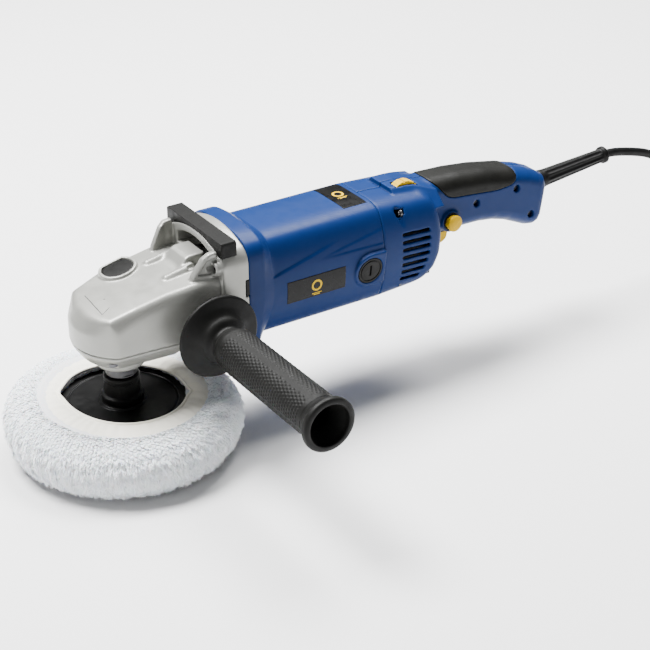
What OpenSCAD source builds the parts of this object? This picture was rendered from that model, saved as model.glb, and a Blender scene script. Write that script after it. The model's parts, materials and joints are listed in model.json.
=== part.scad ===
// Rotary polisher: a right-angle car polisher with a wool bonnet, a side handle and a rear grip.
// Frame: the spindle is the Z axis, the wool's working face is z = 0, the motor runs along +X,
// and the fitted side handle points along -Y. Millimetres.

/* [Pad] */
// Outer radius of the wool bonnet
bonnet_r = 96; // [90:1:100]
// Radius of the backing pad under the wool
pad_r = 83; // [80:1:84]
// Radius of the mouth in the back of the bonnet
mouth_r = 50; // [46:1:54]
// Outer radius of the bonnet's cloth collar
collar_r = 70; // [66:1:72]

/* [Gears] */
// Teeth on the crown gear
crown_teeth = 36; // [36:4:40]
// Teeth on the motor pinion
pinion_teeth = 8; // [8:1:8]
// Outer radius of the crown gear
crown_r = 29; // [28:0.5:29]

/* [Motor] */
// Height of the motor axis above the working face
axis_z = 122; // [122:1:122]
// Half the width of the motor housing
body_half_w = 42.5; // [42:0.5:43]
// Half the height of the motor housing at its crown
body_half_h = 44.6; // [44:0.2:45]
// Wall of the moulded housings
wall = 3; // [2.5:0.5:3]
// Tilt of the brush line from level, in degrees
brush_tilt = 8; // [6:1:10]

/* [Handles] */
// Half the width of the rear handle
grip_half_w = 19.5; // [18:0.5:20]
// Radius of the side handle's guard disc
guard_r = 34.5; // [32:0.5:36]
// Radius of the side handle's tube
tube_r = 17.2; // [16:0.1:18]
// How far the side handle reaches from the spindle
reach = 216.5; // [205:0.5:220]

/* [Cord] */
// Diameter of the mains cord
cord_d = 8; // [7:0.5:8]
// Radius of the middle turn of the stored coil
coil_r = 44; // [42:1:46]

/* [Hidden] */
$fn = 48;

run_gap = 0.05;
parting = 0.1;
shaft_r = 5;
spindle_r = 7.5;
thread_r = 7.9;
pad_low = 14;
pad_top = 41;
bonnet_h = 46;
crown_teeth_in = 22;
mesh_r = (crown_r + crown_teeth_in) / 2;
pinion_pitch_r = mesh_r * pinion_teeth / crown_teeth;
tooth_rise = 1.3;
tooth_drop = 1.7;
mesh_z = axis_z - pinion_pitch_r;
crown_low = mesh_z - 10;
lock_r = 19;
lock_angle = 59.5;
lock_holes = 4;
lock_pin_r = 1.9;
cap_spot = [14.5, 25];
plate_low = 86;
case_low = 101;
flange_front = 70;
flange_back = 94;
seam_x = 225;
rear_end = 289;
handle_x = 56;
handle_z = 109;
stator_front = 124;
stator_back = 176;
stator_r = 37.5;
brush_x = 210;
commutator_r = 14;
dial_x = 265;
dial_y = -9.5;
dial_z = 156.8;
relief_start = [422, 0, 129.9];
relief_end = [500, 0, 137.3];
coil_centre = [650, -20];
coil_base = 1.4;
coil_half = 1.5 * cord_d;
plug_x = coil_centre[0] + coil_r + cord_d;
plug_y = 14;

// The cord's route from the clamp, through the strain relief, to the top of the coil.
cord_route = [
    [392, 0, 127.05], [422, 0, 129.9], [461, 0, 133.6], [500, 0, 137.3], [510, 0, 137.2],
    [522, 0, 135.4], [538, 0, 131.3], [554, 0, 125.7],
    [568, 0, 117.6], [580, -1, 106], [589, -2, 90.5], [595, -4, 73], [599, -8, 55],
    [602, -15, 39], [606, -25, 28.5], [611, -36, 23.5], [618, -47, 21.4]
];
plug_route = [[plug_x, -24, 5.4], [plug_x, -13, 5.5], [plug_x, -2, 6.6], [plug_x, 6, 8.5],
    [plug_x, plug_y - 0.2, 8.8]];

// ---- helpers ----
module along_x(x, y = 0, z = axis_z) translate([x, y, z]) rotate([0, 90, 0]) children();

module along_y(x, y, z) translate([x, y, z]) rotate([-90, 0, 0]) children();

module tube(r_out, r_in, h) difference() {
    cylinder(r = r_out, h = h);
    translate([0, 0, -1]) cylinder(r = r_in, h = h + 2);
}

module slab_x(x, length) translate([x, 0, 0]) rotate([90, 0, 90]) linear_extrude(length) children();

// A housing section in the YZ plane: flat sides, crowned top and bottom, rounded corners.
module section(half_w, half_h, middle, corner = 9, crown = 15.6) {
    r = (half_w * half_w + crown * crown) / (2 * crown);
    translate([0, middle]) offset(r = corner, $fn = 40) offset(delta = -corner) intersection() {
        square([2 * half_w, 4 * half_w], center = true);
        translate([0, half_h - r]) circle(r, $fn = 96);
        translate([0, r - half_h]) circle(r, $fn = 96);
    }
}

// The nose's outline seen from above: a curved front, angled shoulders, widening rearwards.
module nose_outline(inset = 0, rear = flange_front + 2) {
    front = [for (a = [126 : 9 : 234]) [7 + 45.5 * cos(a), 45.5 * sin(a)]];
    offset(delta = -inset) polygon(concat(
        [[rear, 42.5], [45, 42], [20, 40], [0, 38.4]], front,
        [[0, -38.4], [20, -40], [45, -42], [rear, -42.5]]));
}

// The centre line of a coil spring along Z.
function helix(r, pitch, turns, steps) =
    [for (i = [0 : turns * steps]) [r * cos(360 * i / steps), r * sin(360 * i / steps), pitch * i / steps]];

function unit(v) = v / norm(v);
function side_of(t) = abs(t[2]) > 0.9 ? unit(cross([0, 1, 0], t)) : unit(cross([0, 0, 1], t));
function tangent(p, i) = unit(p[min(i + 1, len(p) - 1)] - p[max(i - 1, 0)]);

// A round tube swept along a list of points.
module sweep(path, r, sides = 8) {
    n = len(path);
    rings = [for (i = [0 : n - 1]) let (t = tangent(path, i), u = side_of(t), v = cross(t, u))
        for (k = [0 : sides - 1]) path[i] + r * (cos(360 * k / sides) * u + sin(360 * k / sides) * v)];
    skin = [for (i = [0 : n - 2]) for (k = [0 : sides - 1]) let (a = i * sides, b = (k + 1) % sides)
        [a + k, a + b, a + sides + b, a + sides + k]];
    start_cap = [[for (k = [sides - 1 : -1 : 0]) k]];
    end_cap = [[for (k = [0 : sides - 1]) (n - 1) * sides + k]];
    polyhedron(rings, concat(skin, start_cap, end_cap), convexity = 10);
}

// ---- pad and bonnet ----
module wool_bonnet() color([0.93, 0.95, 0.99]) rotate_extrude($fn = 72) difference() {
    union() {
        square([bonnet_r - 20, 40]);
        translate([bonnet_r - 20, 20]) circle(20);
        polygon([[mouth_r, 30], [bonnet_r - 4, 30], [bonnet_r - 8, 39], [collar_r, bonnet_h],
                 [mouth_r, bonnet_h]]);
    }
    pad_profile(0.3);
    translate([-1, pad_low + 1]) square([mouth_r + 1, 60]);
}

// Half the backing pad's section: a stepped disc whose upper edge slopes in.
module pad_profile(gap = 0) polygon([
    [-1, pad_low - gap], [pad_r - 4 + gap, pad_low - gap], [pad_r + gap, pad_low + 8],
    [pad_r + gap, 33], [pad_r - 14 + gap, pad_top + gap], [-1, pad_top + gap]]);

module bonnet_collar() color([0.93, 0.92, 0.85]) difference() {
    translate([0, 0, bonnet_h]) cylinder(r = collar_r, h = 2.4);
    translate([0, 0, bonnet_h - 1]) cylinder(r = mouth_r, h = 5);
}

module collar_drawcord() color([0.85, 0.84, 0.78]) translate([0, 0, bonnet_h + 3.9])
    rotate_extrude() translate([mouth_r + 2, 0]) circle(1.5);

module backing_pad() color([0.12, 0.12, 0.12]) difference() {
    union() {
        rotate_extrude() intersection() {
            pad_profile();
            square([pad_r + 1, 60]);
        }
        translate([0, 0, pad_top - 1]) cylinder(r = 19, h = 3);
    }
    translate([0, 0, pad_top - 0.8]) tube(44.6, 43.4, 2);
    translate([0, 0, 36]) cylinder(r = 14.5, h = 20);
    translate([0, 0, pad_low - 1]) cylinder(r = 8.2, h = 40);
}

module pad_hub() color([0.08, 0.08, 0.08]) difference() {
    union() {
        translate([0, 0, 36]) cylinder(r = 14.5, h = 30);
        translate([0, 0, pad_top + 2]) cylinder(r = 17.2, h = 6);
    }
    translate([0, 0, 35]) cylinder(r = thread_r, h = 40);
    translate([0, 0, 61]) tube(15.5, 13.8, 1.2);
}

module spindle() color([0.7, 0.7, 0.72]) difference() {
    union() {
        translate([0, 0, 46]) cylinder(r = thread_r, h = 21);
        translate([0, 0, 67]) cylinder(r = 12.5, h = 8);
        translate([0, 0, 75]) cylinder(r = 9, h = 9);
        translate([0, 0, 84]) cylinder(r = spindle_r, h = mesh_z - 84);
        translate([0, 0, mesh_z]) cylinder(r = shaft_r, h = 134 - mesh_z);
    }
    for (s = [-1, 1]) translate([-15, s * 15.2 - 4, 68]) cube([30, 8, 6]);
}

// ---- gears ----
module crown_gear() color([0.55, 0.55, 0.56]) difference() {
    union() {
        translate([0, 0, crown_low]) cylinder(r = crown_r, h = mesh_z - tooth_drop - crown_low);
        translate([0, 0, crown_low - 4]) cylinder(r = 13, h = 5);
        for (i = [0 : crown_teeth - 1]) rotate([0, 0, (i + 0.5) * 360 / crown_teeth])
            crown_tooth();
    }
    translate([0, 0, crown_low - 5]) cylinder(r = spindle_r + 0.02, h = 30);
    for (i = [0 : lock_holes - 1]) rotate([0, 0, lock_angle + i * 360 / lock_holes])
        translate([lock_r, 0, crown_low - 1]) cylinder(r = lock_pin_r + 0.4, h = 30);
    translate([spindle_r - 1, -1.5, crown_low - 5]) cube([2.5, 3, 30]);
}

module crown_tooth() {
    z0 = -tooth_drop - 0.4;
    translate([crown_teeth_in, 0, mesh_z]) rotate([90, 0, 90]) linear_extrude(crown_r - 0.4 - crown_teeth_in)
        polygon([[-1.2, z0], [1.2, z0], [0.45, tooth_rise], [-0.45, tooth_rise]]);
}

module gear_key() color([0.6, 0.6, 0.62]) translate([spindle_r, -1.5, crown_low - 4])
    cube([1.4, 3, 12]);

module spindle_circlip() color([0.3, 0.3, 0.32]) translate([0, 0, 117.8]) difference() {
    tube(8.5, shaft_r, 1.2);
    translate([-10, -2, -1]) cube([7, 4, 4]);
}

module pinion_gear() color([0.55, 0.55, 0.56]) along_x(20.5) {
    step = 360 / pinion_teeth;
    root = pinion_pitch_r - tooth_drop + 0.1;
    tip = pinion_pitch_r + tooth_rise;
    difference() {
        linear_extrude(crown_r - 20.5) polygon([for (i = [0 : pinion_teeth - 1])
            for (p = [[root, -0.26], [root, -0.2], [pinion_pitch_r, -0.17], [tip, -0.07],
                      [tip, 0.07], [pinion_pitch_r, 0.17], [root, 0.2]])
                p[0] * [cos((i + p[1]) * step), sin((i + p[1]) * step)]]);
        translate([0, 0, -1]) cylinder(r = 2.75, h = 20);
    }
}

// ---- bearings ----
module ball_bearing(r_in, r_out, width, balls = 9) {
    third = (r_out - r_in) / 3;
    middle = (r_out + r_in) / 2;
    difference() {
        union() {
            tube(r_out, r_out - third, width);
            tube(r_in + third, r_in, width);
        }
        translate([0, 0, width / 2]) rotate_extrude() translate([middle, 0]) circle(third * 0.78);
    }
    for (i = [0 : balls - 1]) rotate([0, 0, i * 360 / balls])
        translate([middle, 0, width / 2]) sphere(third * 0.68, $fn = 24);
}

module spindle_bearing() color([0.72, 0.72, 0.74]) translate([0, 0, 84.5])
    ball_bearing(spindle_r + run_gap, 17.5, 11);

module spindle_seal() color([0.15, 0.15, 0.15]) translate([0, 0, 77]) tube(14, 9 + run_gap, 5);

module needle_bearing() color([0.7, 0.7, 0.72]) translate([0, 0, 123]) {
    tube(8.5, 7.6, 10);
    for (i = [0 : 11]) rotate([0, 0, i * 30]) translate([6.35, 0, 0.5]) cylinder(r = 1.2, h = 9, $fn = 16);
}

module front_bearing() color([0.72, 0.72, 0.74]) along_x(37) ball_bearing(shaft_r + run_gap, 13, 10);

module rear_bearing() color([0.72, 0.72, 0.74]) along_x(230) ball_bearing(4 + run_gap, 11, 7);

// ---- gear head ----
module bearing_plate() color([0.74, 0.74, 0.71]) difference() {
    union() {
        hull() {
            translate([0, 0, plate_low]) linear_extrude(1) nose_outline(7, 56);
            translate([0, 0, case_low - 2]) linear_extrude(2) nose_outline(1, 59.9);
        }
        translate([0, 0, 73]) cylinder(r = 20, h = 20);
    }
    translate([0, 0, 84.5]) cylinder(r = 17.5, h = 30);
    translate([0, 0, 77]) cylinder(r = 14, h = 12);
    translate([0, 0, 70]) cylinder(r = 13, h = 12);
    translate([0, 0, 95.5]) cylinder(r = crown_r + 1, h = 10);
    plate_screw_holes();
    for (s = [-1, 1]) along_y(handle_x, s == 1 ? 37.8 : -48.2, handle_z) cylinder(r = 11.2, h = 10.4);
}

plate_screw_spots = [[-20.4, 29.1], [-20.4, -29.1], [36, 31], [36, -31]];

module plate_screw_holes() for (p = plate_screw_spots) translate([p[0], p[1], 70]) {
    cylinder(r = 1.9 + run_gap, h = 44);
    cylinder(r = 3.6, h = 25);
}

module plate_screws() color([0.3, 0.3, 0.32]) for (p = plate_screw_spots) translate([p[0], p[1], 92])
    difference() {
        union() {
            cylinder(r = 3.4, h = 3);
            translate([0, 0, 2.9]) cylinder(r = 1.9, h = 17);
        }
        translate([0, 0, -1]) cylinder(r = 1.6, h = 2.5, $fn = 6);
    }

// The case seen from the side: a nose that rises rearwards to the neck.
module case_profile() rotate([90, 0, 0]) translate([0, 0, -60]) linear_extrude(120) polygon([
    [-40, case_low], [-40, 117], [-30, 129.5], [-24, 131.5], [0, 139], [24, 144.5], [50, 148],
    [flange_front + 2, 148.5], [flange_front + 2, case_low - 9], [60, case_low - 9], [60, case_low]]);

module flange_outline(inset = 0) offset(r = 10 - inset, $fn = 40) offset(delta = -10) intersection() {
    translate([-44.5, 72.5]) square([89, 110]);
    translate([0, 175 - 89]) circle(89, $fn = 120);
}

module gear_case() color([0.76, 0.76, 0.73]) difference() {
    union() {
        intersection() {
            translate([0, 0, 80]) linear_extrude(90) nose_outline();
            case_profile();
        }
        slab_x(flange_front, flange_back - flange_front) flange_outline();
        for (s = [-1, 1]) translate([44, s * 34 - 4, 140]) rotate([90, 0, 0]) translate([0, 0, -8])
            linear_extrude(8) polygon([[0, 7], [20, 26], [28, 26], [28, 0], [0, 0]]);
        translate([48, -13, 140]) cube([20, 26, 17]);
        for (s = [-1, 1]) along_y(handle_x, s == 1 ? 38 : -48, handle_z) cylinder(r = 11, h = 10);
        for (s = [-1, 1]) translate([30, s * 17 - 2.5, 140]) cube([22, 5, 9.5]);
        translate([cap_spot[0], cap_spot[1], 134]) cylinder(r = 14.6, h = 12);
    }
    // gear chamber, neck and fan chamber
    translate([0, 0, case_low - 15]) cylinder(r = crown_r + 1, h = 118 - case_low + 15);
    translate([0, 0, 117]) intersection() {
        cylinder(r = crown_r + 1, h = 9);
        translate([-60, -24, 0]) cube([120, 48, 9]);
    }
    along_x(18) cylinder(r = 8.2, h = 18);
    along_x(37) cylinder(r = 13, h = 12);
    along_x(36) cylinder(r = 10, h = 2);
    along_x(49) cylinder(r = 30, h = 8);
    along_x(56) cylinder(r = 37, h = 40);
    translate([0, 0, 123]) cylinder(r = 8.5, h = 11);
    // lock pin guide, side handle sockets, arch pocket, screws
    rotate([0, 0, lock_angle]) translate([lock_r, 0, 110])
        cylinder(r = lock_pin_r + run_gap, h = 50);
    for (s = [-1, 1]) along_y(handle_x, s == 1 ? 35.5 : -49.5, handle_z)
        cylinder(r = 4, h = 14);
    intersection() {
        slab_x(flange_front - 1, 9) translate([0, 166.5 - 60]) circle(60, $fn = 96);
        translate([60, -25, 149]) cube([20, 50, 30]);
    }
    for (y = [-36, 36], z = [88, 157]) along_x(60, y, z) cylinder(r = 2.1, h = 40);
    for (y = [-36, 36]) along_x(60, y, 157) cylinder(r = 4.4, h = 13);
    lock_cap_shape(0.3, 141.5, 10);
    plate_screw_holes();
    difference() {
        translate([flange_front - 0.1, -43.6, 164]) cube([14.2, 87.2, 20]);
        along_x(flange_front - 1, 0, pad_arch_z) cylinder(r = pad_arch_r - 0.1, h = 17);
    }
}

// The arch that the rest pad sits on: its radius, and the height of its middle.
pad_arch_r = 84.5;
pad_arch_z = 88.5;

// The spindle-lock button seen from above: a disc with one straight side.
module lock_cap_shape(gap, z, h) translate([cap_spot[0], cap_spot[1], z]) intersection() {
    cylinder(r = 12.5 + gap, h = h);
    translate([-15, -15, 0]) cube([30, 24 + gap, h]);
}

module rest_pad() color([0.16, 0.16, 0.15]) difference() {
    translate([flange_front, -43.5, 164]) cube([14, 87, 13]);
    along_x(flange_front - 1, 0, pad_arch_z) cylinder(r = pad_arch_r, h = 16);
}

module case_screws() color([0.75, 0.75, 0.77]) for (y = [-36, 36]) {
    difference() {
        along_x(65, y, 157) cylinder(r = 4.2, h = 7.9);
        along_x(64, y, 157) cylinder(r = 2, h = 4, $fn = 6);
    }
    along_x(73, y, 157) cylinder(r = 2, h = 34);
    along_x(69, y, 88) cylinder(r = 2, h = 38);
    along_x(66, y, 88) cylinder(r = 3.8, h = 4);
}

// ---- spindle lock ----
module lock_button_top() color([0.15, 0.15, 0.14]) difference() {
    lock_cap_shape(0, 145.6, 2.6);
    rotate([0, 0, lock_angle]) translate([lock_r, 0, 145]) cylinder(r = 1.5, h = 2.4);
}

module lock_pin() color([0.66, 0.66, 0.68]) rotate([0, 0, lock_angle]) translate([lock_r, 0, 0]) {
    translate([0, 0, mesh_z - tooth_drop + 1]) cylinder(r = lock_pin_r, h = 144.6 - mesh_z + tooth_drop);
    translate([0, 0, 145.6]) cylinder(r = 1.5, h = 1.8);
}

module lock_pin_spring() color([0.6, 0.6, 0.62]) translate([cap_spot[0], cap_spot[1], 142])
    sweep(helix(6, 1.4, 2, 16), 0.4, 6);

// ---- side handle ----
module side_handle() color([0.15, 0.15, 0.14]) along_y(handle_x, -reach, handle_z) difference() {
    union() {
        cylinder(r = 21.8, h = 5);
        translate([0, 0, 4.9]) cylinder(r1 = 21.8, r2 = tube_r, h = 6);
        cylinder(r = tube_r, h = reach - 66);
        translate([0, 0, reach - 72]) cylinder(r = 12, h = 23.9);
        translate([0, 0, reach - 62]) cylinder(r = guard_r, h = 4);
        translate([0, 0, reach - 66]) cylinder(r1 = tube_r, r2 = 24, h = 4.1);
    }
    translate([0, 0, -1]) cylinder(r = 16.5, h = 5);
    translate([0, 0, 3.9]) cylinder(r1 = 16.5, r2 = 11, h = 12);
    translate([0, 0, 10]) cylinder(r = 11, h = 96);
    translate([0, 0, 100]) cylinder(r = 3.95, h = 90);
}

module handle_stud() color([0.7, 0.7, 0.72]) along_y(handle_x, -reach + 106, handle_z) {
    cylinder(r = 3.9, h = reach - 106 - 36);
    translate([0, 0, -6]) cylinder(r = 6.5, h = 6, $fn = 6);
}

// ---- motor ----
module armature_shaft() color([0.7, 0.7, 0.72]) {
    along_x(19) cylinder(r = 2.7, h = 12);
    along_x(30) cylinder(r = shaft_r, h = 198);
    along_x(227) cylinder(r = 4, h = 12);
}

module armature_core() color([0.45, 0.45, 0.47]) along_x(stator_front) difference() {
    cylinder(r = 23.5, h = stator_back - stator_front);
    translate([0, 0, -1]) cylinder(r = shaft_r, h = 80);
    for (i = [0 : 11]) rotate([0, 0, i * 30]) translate([20, -1, -1]) cube([6, 2, 80]);
}

module armature_windings() color([0.72, 0.36, 0.16]) for (x = [stator_front - 10, stator_back])
    along_x(x) difference() {
        cylinder(r = 21, h = 10);
        translate([0, 0, -1]) cylinder(r = shaft_r, h = 14);
    }

module commutator() color([0.75, 0.45, 0.22]) along_x(198) difference() {
    cylinder(r = commutator_r, h = 22);
    translate([0, 0, -1]) cylinder(r = shaft_r, h = 30);
    for (i = [0 : 23]) rotate([0, 0, i * 15]) translate([commutator_r - 0.7, -0.3, 2]) cube([2, 0.6, 25]);
}

module cooling_fan() color([0.2, 0.2, 0.2]) along_x(74) {
    difference() {
        union() {
            cylinder(r = 9, h = 14);
            cylinder(r = 34, h = 2);
        }
        translate([0, 0, -1]) cylinder(r = shaft_r, h = 20);
    }
    for (i = [0 : 12]) rotate([0, 0, i * 360 / 13]) translate([14, -0.8, 1.9]) cube([19, 1.6, 11]);
}

module rear_bearing_bracket() color([0.2, 0.2, 0.2]) difference() {
    union() {
        along_x(229) cylinder(r = 14, h = 9);
        for (a = [45 : 90 : 315]) translate([229, 0, axis_z]) rotate([a, 0, 0])
            translate([0, -4, 12]) cube([4, 8, 34]);
    }
    along_x(230) cylinder(r = 11, h = 12);
    along_x(225) cylinder(r = 8, h = 8);
}

module baffle_ring() color([0.2, 0.2, 0.2]) along_x(100) tube(38, 27, 4);

module stator_core() color([0.5, 0.5, 0.52]) along_x(stator_front) difference() {
    tube(stator_r, 24.2, stator_back - stator_front);
    for (s = [-1, 1]) translate([s == 1 ? 27 : -33, -14, -1]) cube([6, 28, 80]);
}

module stator_coils() color([0.72, 0.36, 0.16]) for (x = [stator_front - 9, stator_back])
    along_x(x) difference() {
        tube(35, 26, 9);
        for (s = [-1, 1]) translate([-40, s * 40 - 22, -1]) cube([80, 44, 12]);
    }

module brush_line() for (s = [-1, 1]) translate([brush_x, 0, axis_z])
    rotate([brush_tilt, 0, 0]) rotate([s * -90, 0, 0]) children();

// Where the four screws that hold the rear housing run, across and up from the motor axis.
corner = 35;

module at_corners(x) for (s = [-1, 1], t = [-1, 1]) along_x(x, s * corner, axis_z + t * corner) children();

module motor_housing() color([0.13, 0.28, 0.58]) difference() {
    union() {
        difference() {
            union() {
                slab_x(116, seam_x - 116) section(body_half_w, body_half_h, axis_z);
                slab_x(flange_back, 18) section(44.5, 50, axis_z, 18, 12);
                slab_x(111, 6) section(43.6, 47.4, axis_z, 14, 14);
                brush_line() translate([0, 0, 34]) cylinder(r = 15, h = 10.6);
            }
            slab_x(104, 150) section(body_half_w - wall, body_half_h - wall, axis_z, 7);
        }
        intersection() {
            slab_x(206, seam_x - 206) section(body_half_w, body_half_h, axis_z);
            at_corners(200) cylinder(r = 5, h = 30);
        }
    }
    at_corners(208) cylinder(r = 1.85, h = 30);
    along_x(90) cylinder(r = 38, h = 20);
    brush_line() cylinder(r = 11.7, h = 60);
    for (y = [-36, 36], z = [88, 157]) along_x(90, y, z) cylinder(r = 2.1, h = 18);
}

module brush_holders() color([0.8, 0.65, 0.3]) brush_line() translate([0, 0, 16]) difference() {
    translate([-6.5, -5, 0]) cube([13, 10, 21]);
    translate([-5.1, -3.6, -1]) cube([10.2, 7.2, 30]);
}

module carbon_brushes() color([0.12, 0.12, 0.12]) brush_line() difference() {
    translate([-5, -3.5, 13]) cube([10, 7, 17]);
    translate([-8, 0, 0]) rotate([0, 90, 0]) cylinder(r = commutator_r + 0.15, h = 16);
}

module brush_springs() color([0.6, 0.6, 0.62]) brush_line() translate([0, 0, 30.4])
    sweep(helix(2.6, 1.9, 3, 8), 0.35, 6);

module brush_caps() color([0.1, 0.1, 0.1]) brush_line() difference() {
    translate([0, 0, 37.2]) cylinder(r = 11.5, h = 7);
    translate([-0.9, -5, 42.4]) cube([1.8, 10, 3]);
    translate([0, 0, 43.4]) tube(10, 9, 2);
}

module side_badges() for (s = [-1, 1]) translate([130, s * (body_half_w + 0.25), 108.5]) {
    color([0.05, 0.05, 0.05]) translate([0, -0.25, 0]) cube([56, 0.5, 19]);
    color([0.96, 0.72, 0.05]) along_y(28, s == 1 ? 0.25 : -0.55, 9.5) tube(6.5, 4.5, 0.3);
}

module top_badge() color([0.05, 0.05, 0.05]) intersection() {
    difference() {
        slab_x(198, 24) section(body_half_w + 0.5, body_half_h + 0.5, axis_z);
        slab_x(197, 26) section(body_half_w, body_half_h, axis_z);
    }
    translate([198, -21, axis_z + 20]) cube([24, 42, 40]);
}

// ---- rear housing ----
function rear_section(w, h) = [for (s = [[1, 1], [-1, 1], [-1, -1], [1, -1]]) for (p = s[0] * s[1] > 0
    ? [[1, 0.62], [0.84, 0.85], [0.46, 0.98]] : [[0.46, 0.98], [0.84, 0.85], [1, 0.62]])
    [s[0] * w * p[0], s[1] * h * p[1]]];

// The blunt box behind the motor housing, which rounds off below and behind.
module rear_body(inset = 0) hull() {
    slab_x(seam_x, 30) translate([0, axis_z])
        polygon(rear_section(body_half_w - inset, body_half_h - inset));
    slab_x(272 - inset, 1) translate([0, axis_z + 5])
        polygon(rear_section(body_half_w - 1.2 - inset, 36 - inset));
    slab_x(rear_end - 1 - inset, 1) translate([0, axis_z + 4])
        polygon(rear_section(34 - inset, 17 - inset));
}

// The handle seen from the side, and the layers that round its edges: half width and inset.
handle_outline = [
    [279, 164.5], [320, 164], [349, 161], [379, 155], [399, 149.5], [411, 144.5], [419, 139.5],
    [422, 132], [421.5, 120], [419, 103], [415, 96], [408, 93.5], [400, 95.5], [389, 101],
    [376, 107], [361, 111], [345, 113], [279, 114.5]
];
handle_layers = [[5, 0], [10, 1.2], [14.5, 3.6], [18, 7.5], [grip_half_w, 12]];

module handle_body(inset = 0) for (l = handle_layers) translate([0, l[0] - inset, 0]) rotate([90, 0, 0])
    linear_extrude(2 * (l[0] - inset)) offset(delta = -l[1] - inset) polygon(handle_outline);

// The platform on top that the speed dial stands in.
module dial_hump() translate([0, 14, 0]) rotate([90, 0, 0]) linear_extrude(28)
    polygon([[249, 150], [249, 169.6], [262, 169.8], [272, 168.6], [281, 166], [290, 163.6], [290, 150]]);

slot_rows = 7;

module rear_shell() difference() {
    union() {
        difference() {
            union() {
                rear_body();
                handle_body();
                dial_hump();
                along_y(309, -23, 126) cylinder(r = 10, h = 20);
            }
            translate([-0.1, 0, 0]) rear_body(wall);
            handle_body(wall);
        }
        for (p = handle_screw_spots) along_y(p[0], -17, p[1]) cylinder(r = 5, h = 34);
    }
    for (i = [0 : slot_rows - 1]) translate([244, -50, 93 + i * 6.6]) cube([31, 100, 3]);
    at_corners(seam_x + 9) cylinder(r = 4.2, h = 30);
    at_corners(seam_x - 1) cylinder(r = 1.85, h = 12);
    along_y(dial_x, dial_y - 5.2, dial_z) cylinder(r = 14.2, h = 10.4);
    translate([293, -8.6, 95]) cube([25, 17.2, 35]);
    along_y(309, -40, 126) cylinder(r = 6.5 + run_gap, h = 32);
    for (p = handle_screw_spots) {
        along_y(p[0], -30, p[1]) cylinder(r = 3.2, h = 17);
        along_y(p[0], -14, p[1]) cylinder(r = 1.65, h = 28.5);
    }
    relief_frame() cylinder(r = 8.6, h = 40, center = true);
}

// Where the three screws that join the handle's halves sit: x and z.
handle_screw_spots = [[338, 135], [382, 138], [400, 109]];

module rear_housing_left() color([0.13, 0.28, 0.58]) difference() {
    rear_shell();
    translate([200, -parting / 2, 60]) cube([260, 60, 140]);
    grip_zone();
}

module rear_housing_right() color([0.13, 0.28, 0.58]) difference() {
    rear_shell();
    translate([200, parting / 2 - 60, 60]) cube([260, 60, 140]);
    grip_zone();
}

// The soft cover's share of the handle: its top, above a line that falls and rises again.
module grip_zone(gap = 0) difference() {
    intersection() {
        handle_body();
        translate([0, 60, 0]) rotate([90, 0, 0]) linear_extrude(120) offset(delta = gap)
            polygon([[290, 172], [304, 153], [310, 148], [330, 146], [362, 142], [374, 145],
                     [380, 151], [380, 158], [374, 172]]);
    }
    handle_body(wall - 1);
}

module grip_cover() color([0.17, 0.17, 0.15]) grip_zone();

module housing_screws() color([0.3, 0.3, 0.32]) at_corners(seam_x + 9) difference() {
    union() {
        cylinder(r = 3.6, h = 3);
        translate([0, 0, -24]) cylinder(r = 1.8, h = 24.1);
    }
    translate([0, 0, 1.5]) cylinder(r = 1.5, h = 3, $fn = 6);
}

module handle_screws() color([0.3, 0.3, 0.32]) for (p = handle_screw_spots) {
    along_y(p[0], -15.5, p[1]) cylinder(r = 3, h = 2.5);
    along_y(p[0], -13.1, p[1]) cylinder(r = 1.6, h = 27);
}

// ---- controls ----
module speed_dial() color([0.95, 0.7, 0.05]) along_y(dial_x, dial_y - 4.5, dial_z) difference() {
    cylinder(r = 13.4, h = 9);
    translate([0, 0, -1]) cylinder(r = 2 + run_gap, h = 12);
    for (i = [0 : 17]) rotate([0, 0, i * 20]) translate([13.9, 0, -1]) cylinder(r = 0.9, h = 12, $fn = 16);
}

module speed_board() {
    color([0.1, 0.35, 0.2]) translate([dial_x - 18, dial_y + 7, 128]) cube([21, 1.6, 30]);
    color([0.15, 0.15, 0.15]) along_y(dial_x, dial_y + 5, dial_z) cylinder(r = 3.1, h = 2.2);
    color([0.7, 0.7, 0.7]) along_y(dial_x, dial_y - 5, dial_z) cylinder(r = 2, h = 11);
    color([0.3, 0.3, 0.3]) translate([dial_x - 16, dial_y + 8.5, 130]) cube([16, 6, 12]);
}

module trigger() color([0.95, 0.7, 0.05]) {
    translate([294, -8, 99]) cube([22, 16, 13]);
    translate([296, -6, 111.9]) cube([18, 12, 5]);
    translate([299, -3, 116.8]) cube([5, 6, 6]);
}

module trigger_switch() color([0.12, 0.12, 0.12]) difference() {
    translate([293.4, -8, 128]) cube([38, 16, 24]);
    translate([298.5, -3.5, 120]) cube([6, 7, 22]);
}

module trigger_spring() color([0.6, 0.6, 0.62]) translate([310, 0, 117.4])
    sweep(helix(3, 3, 3, 8), 0.4, 6);

module run_lock_button() color([0.95, 0.7, 0.05]) {
    along_y(309, -28, 126) cylinder(r = 6.5, h = 14);
    along_y(309, -14.1, 126) cylinder(r = 3, h = 3.1);
}

module run_lock_spring() color([0.6, 0.6, 0.62]) along_y(309, -11.5, 126)
    sweep(helix(4.2, 1.5, 2, 10), 0.35, 6);

// ---- cord ----
module relief_frame() translate(relief_start)
    rotate([0, 90 - atan2(relief_end[2] - relief_start[2], relief_end[0] - relief_start[0]), 0]) children();

relief_length = norm(relief_end - relief_start);

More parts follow.
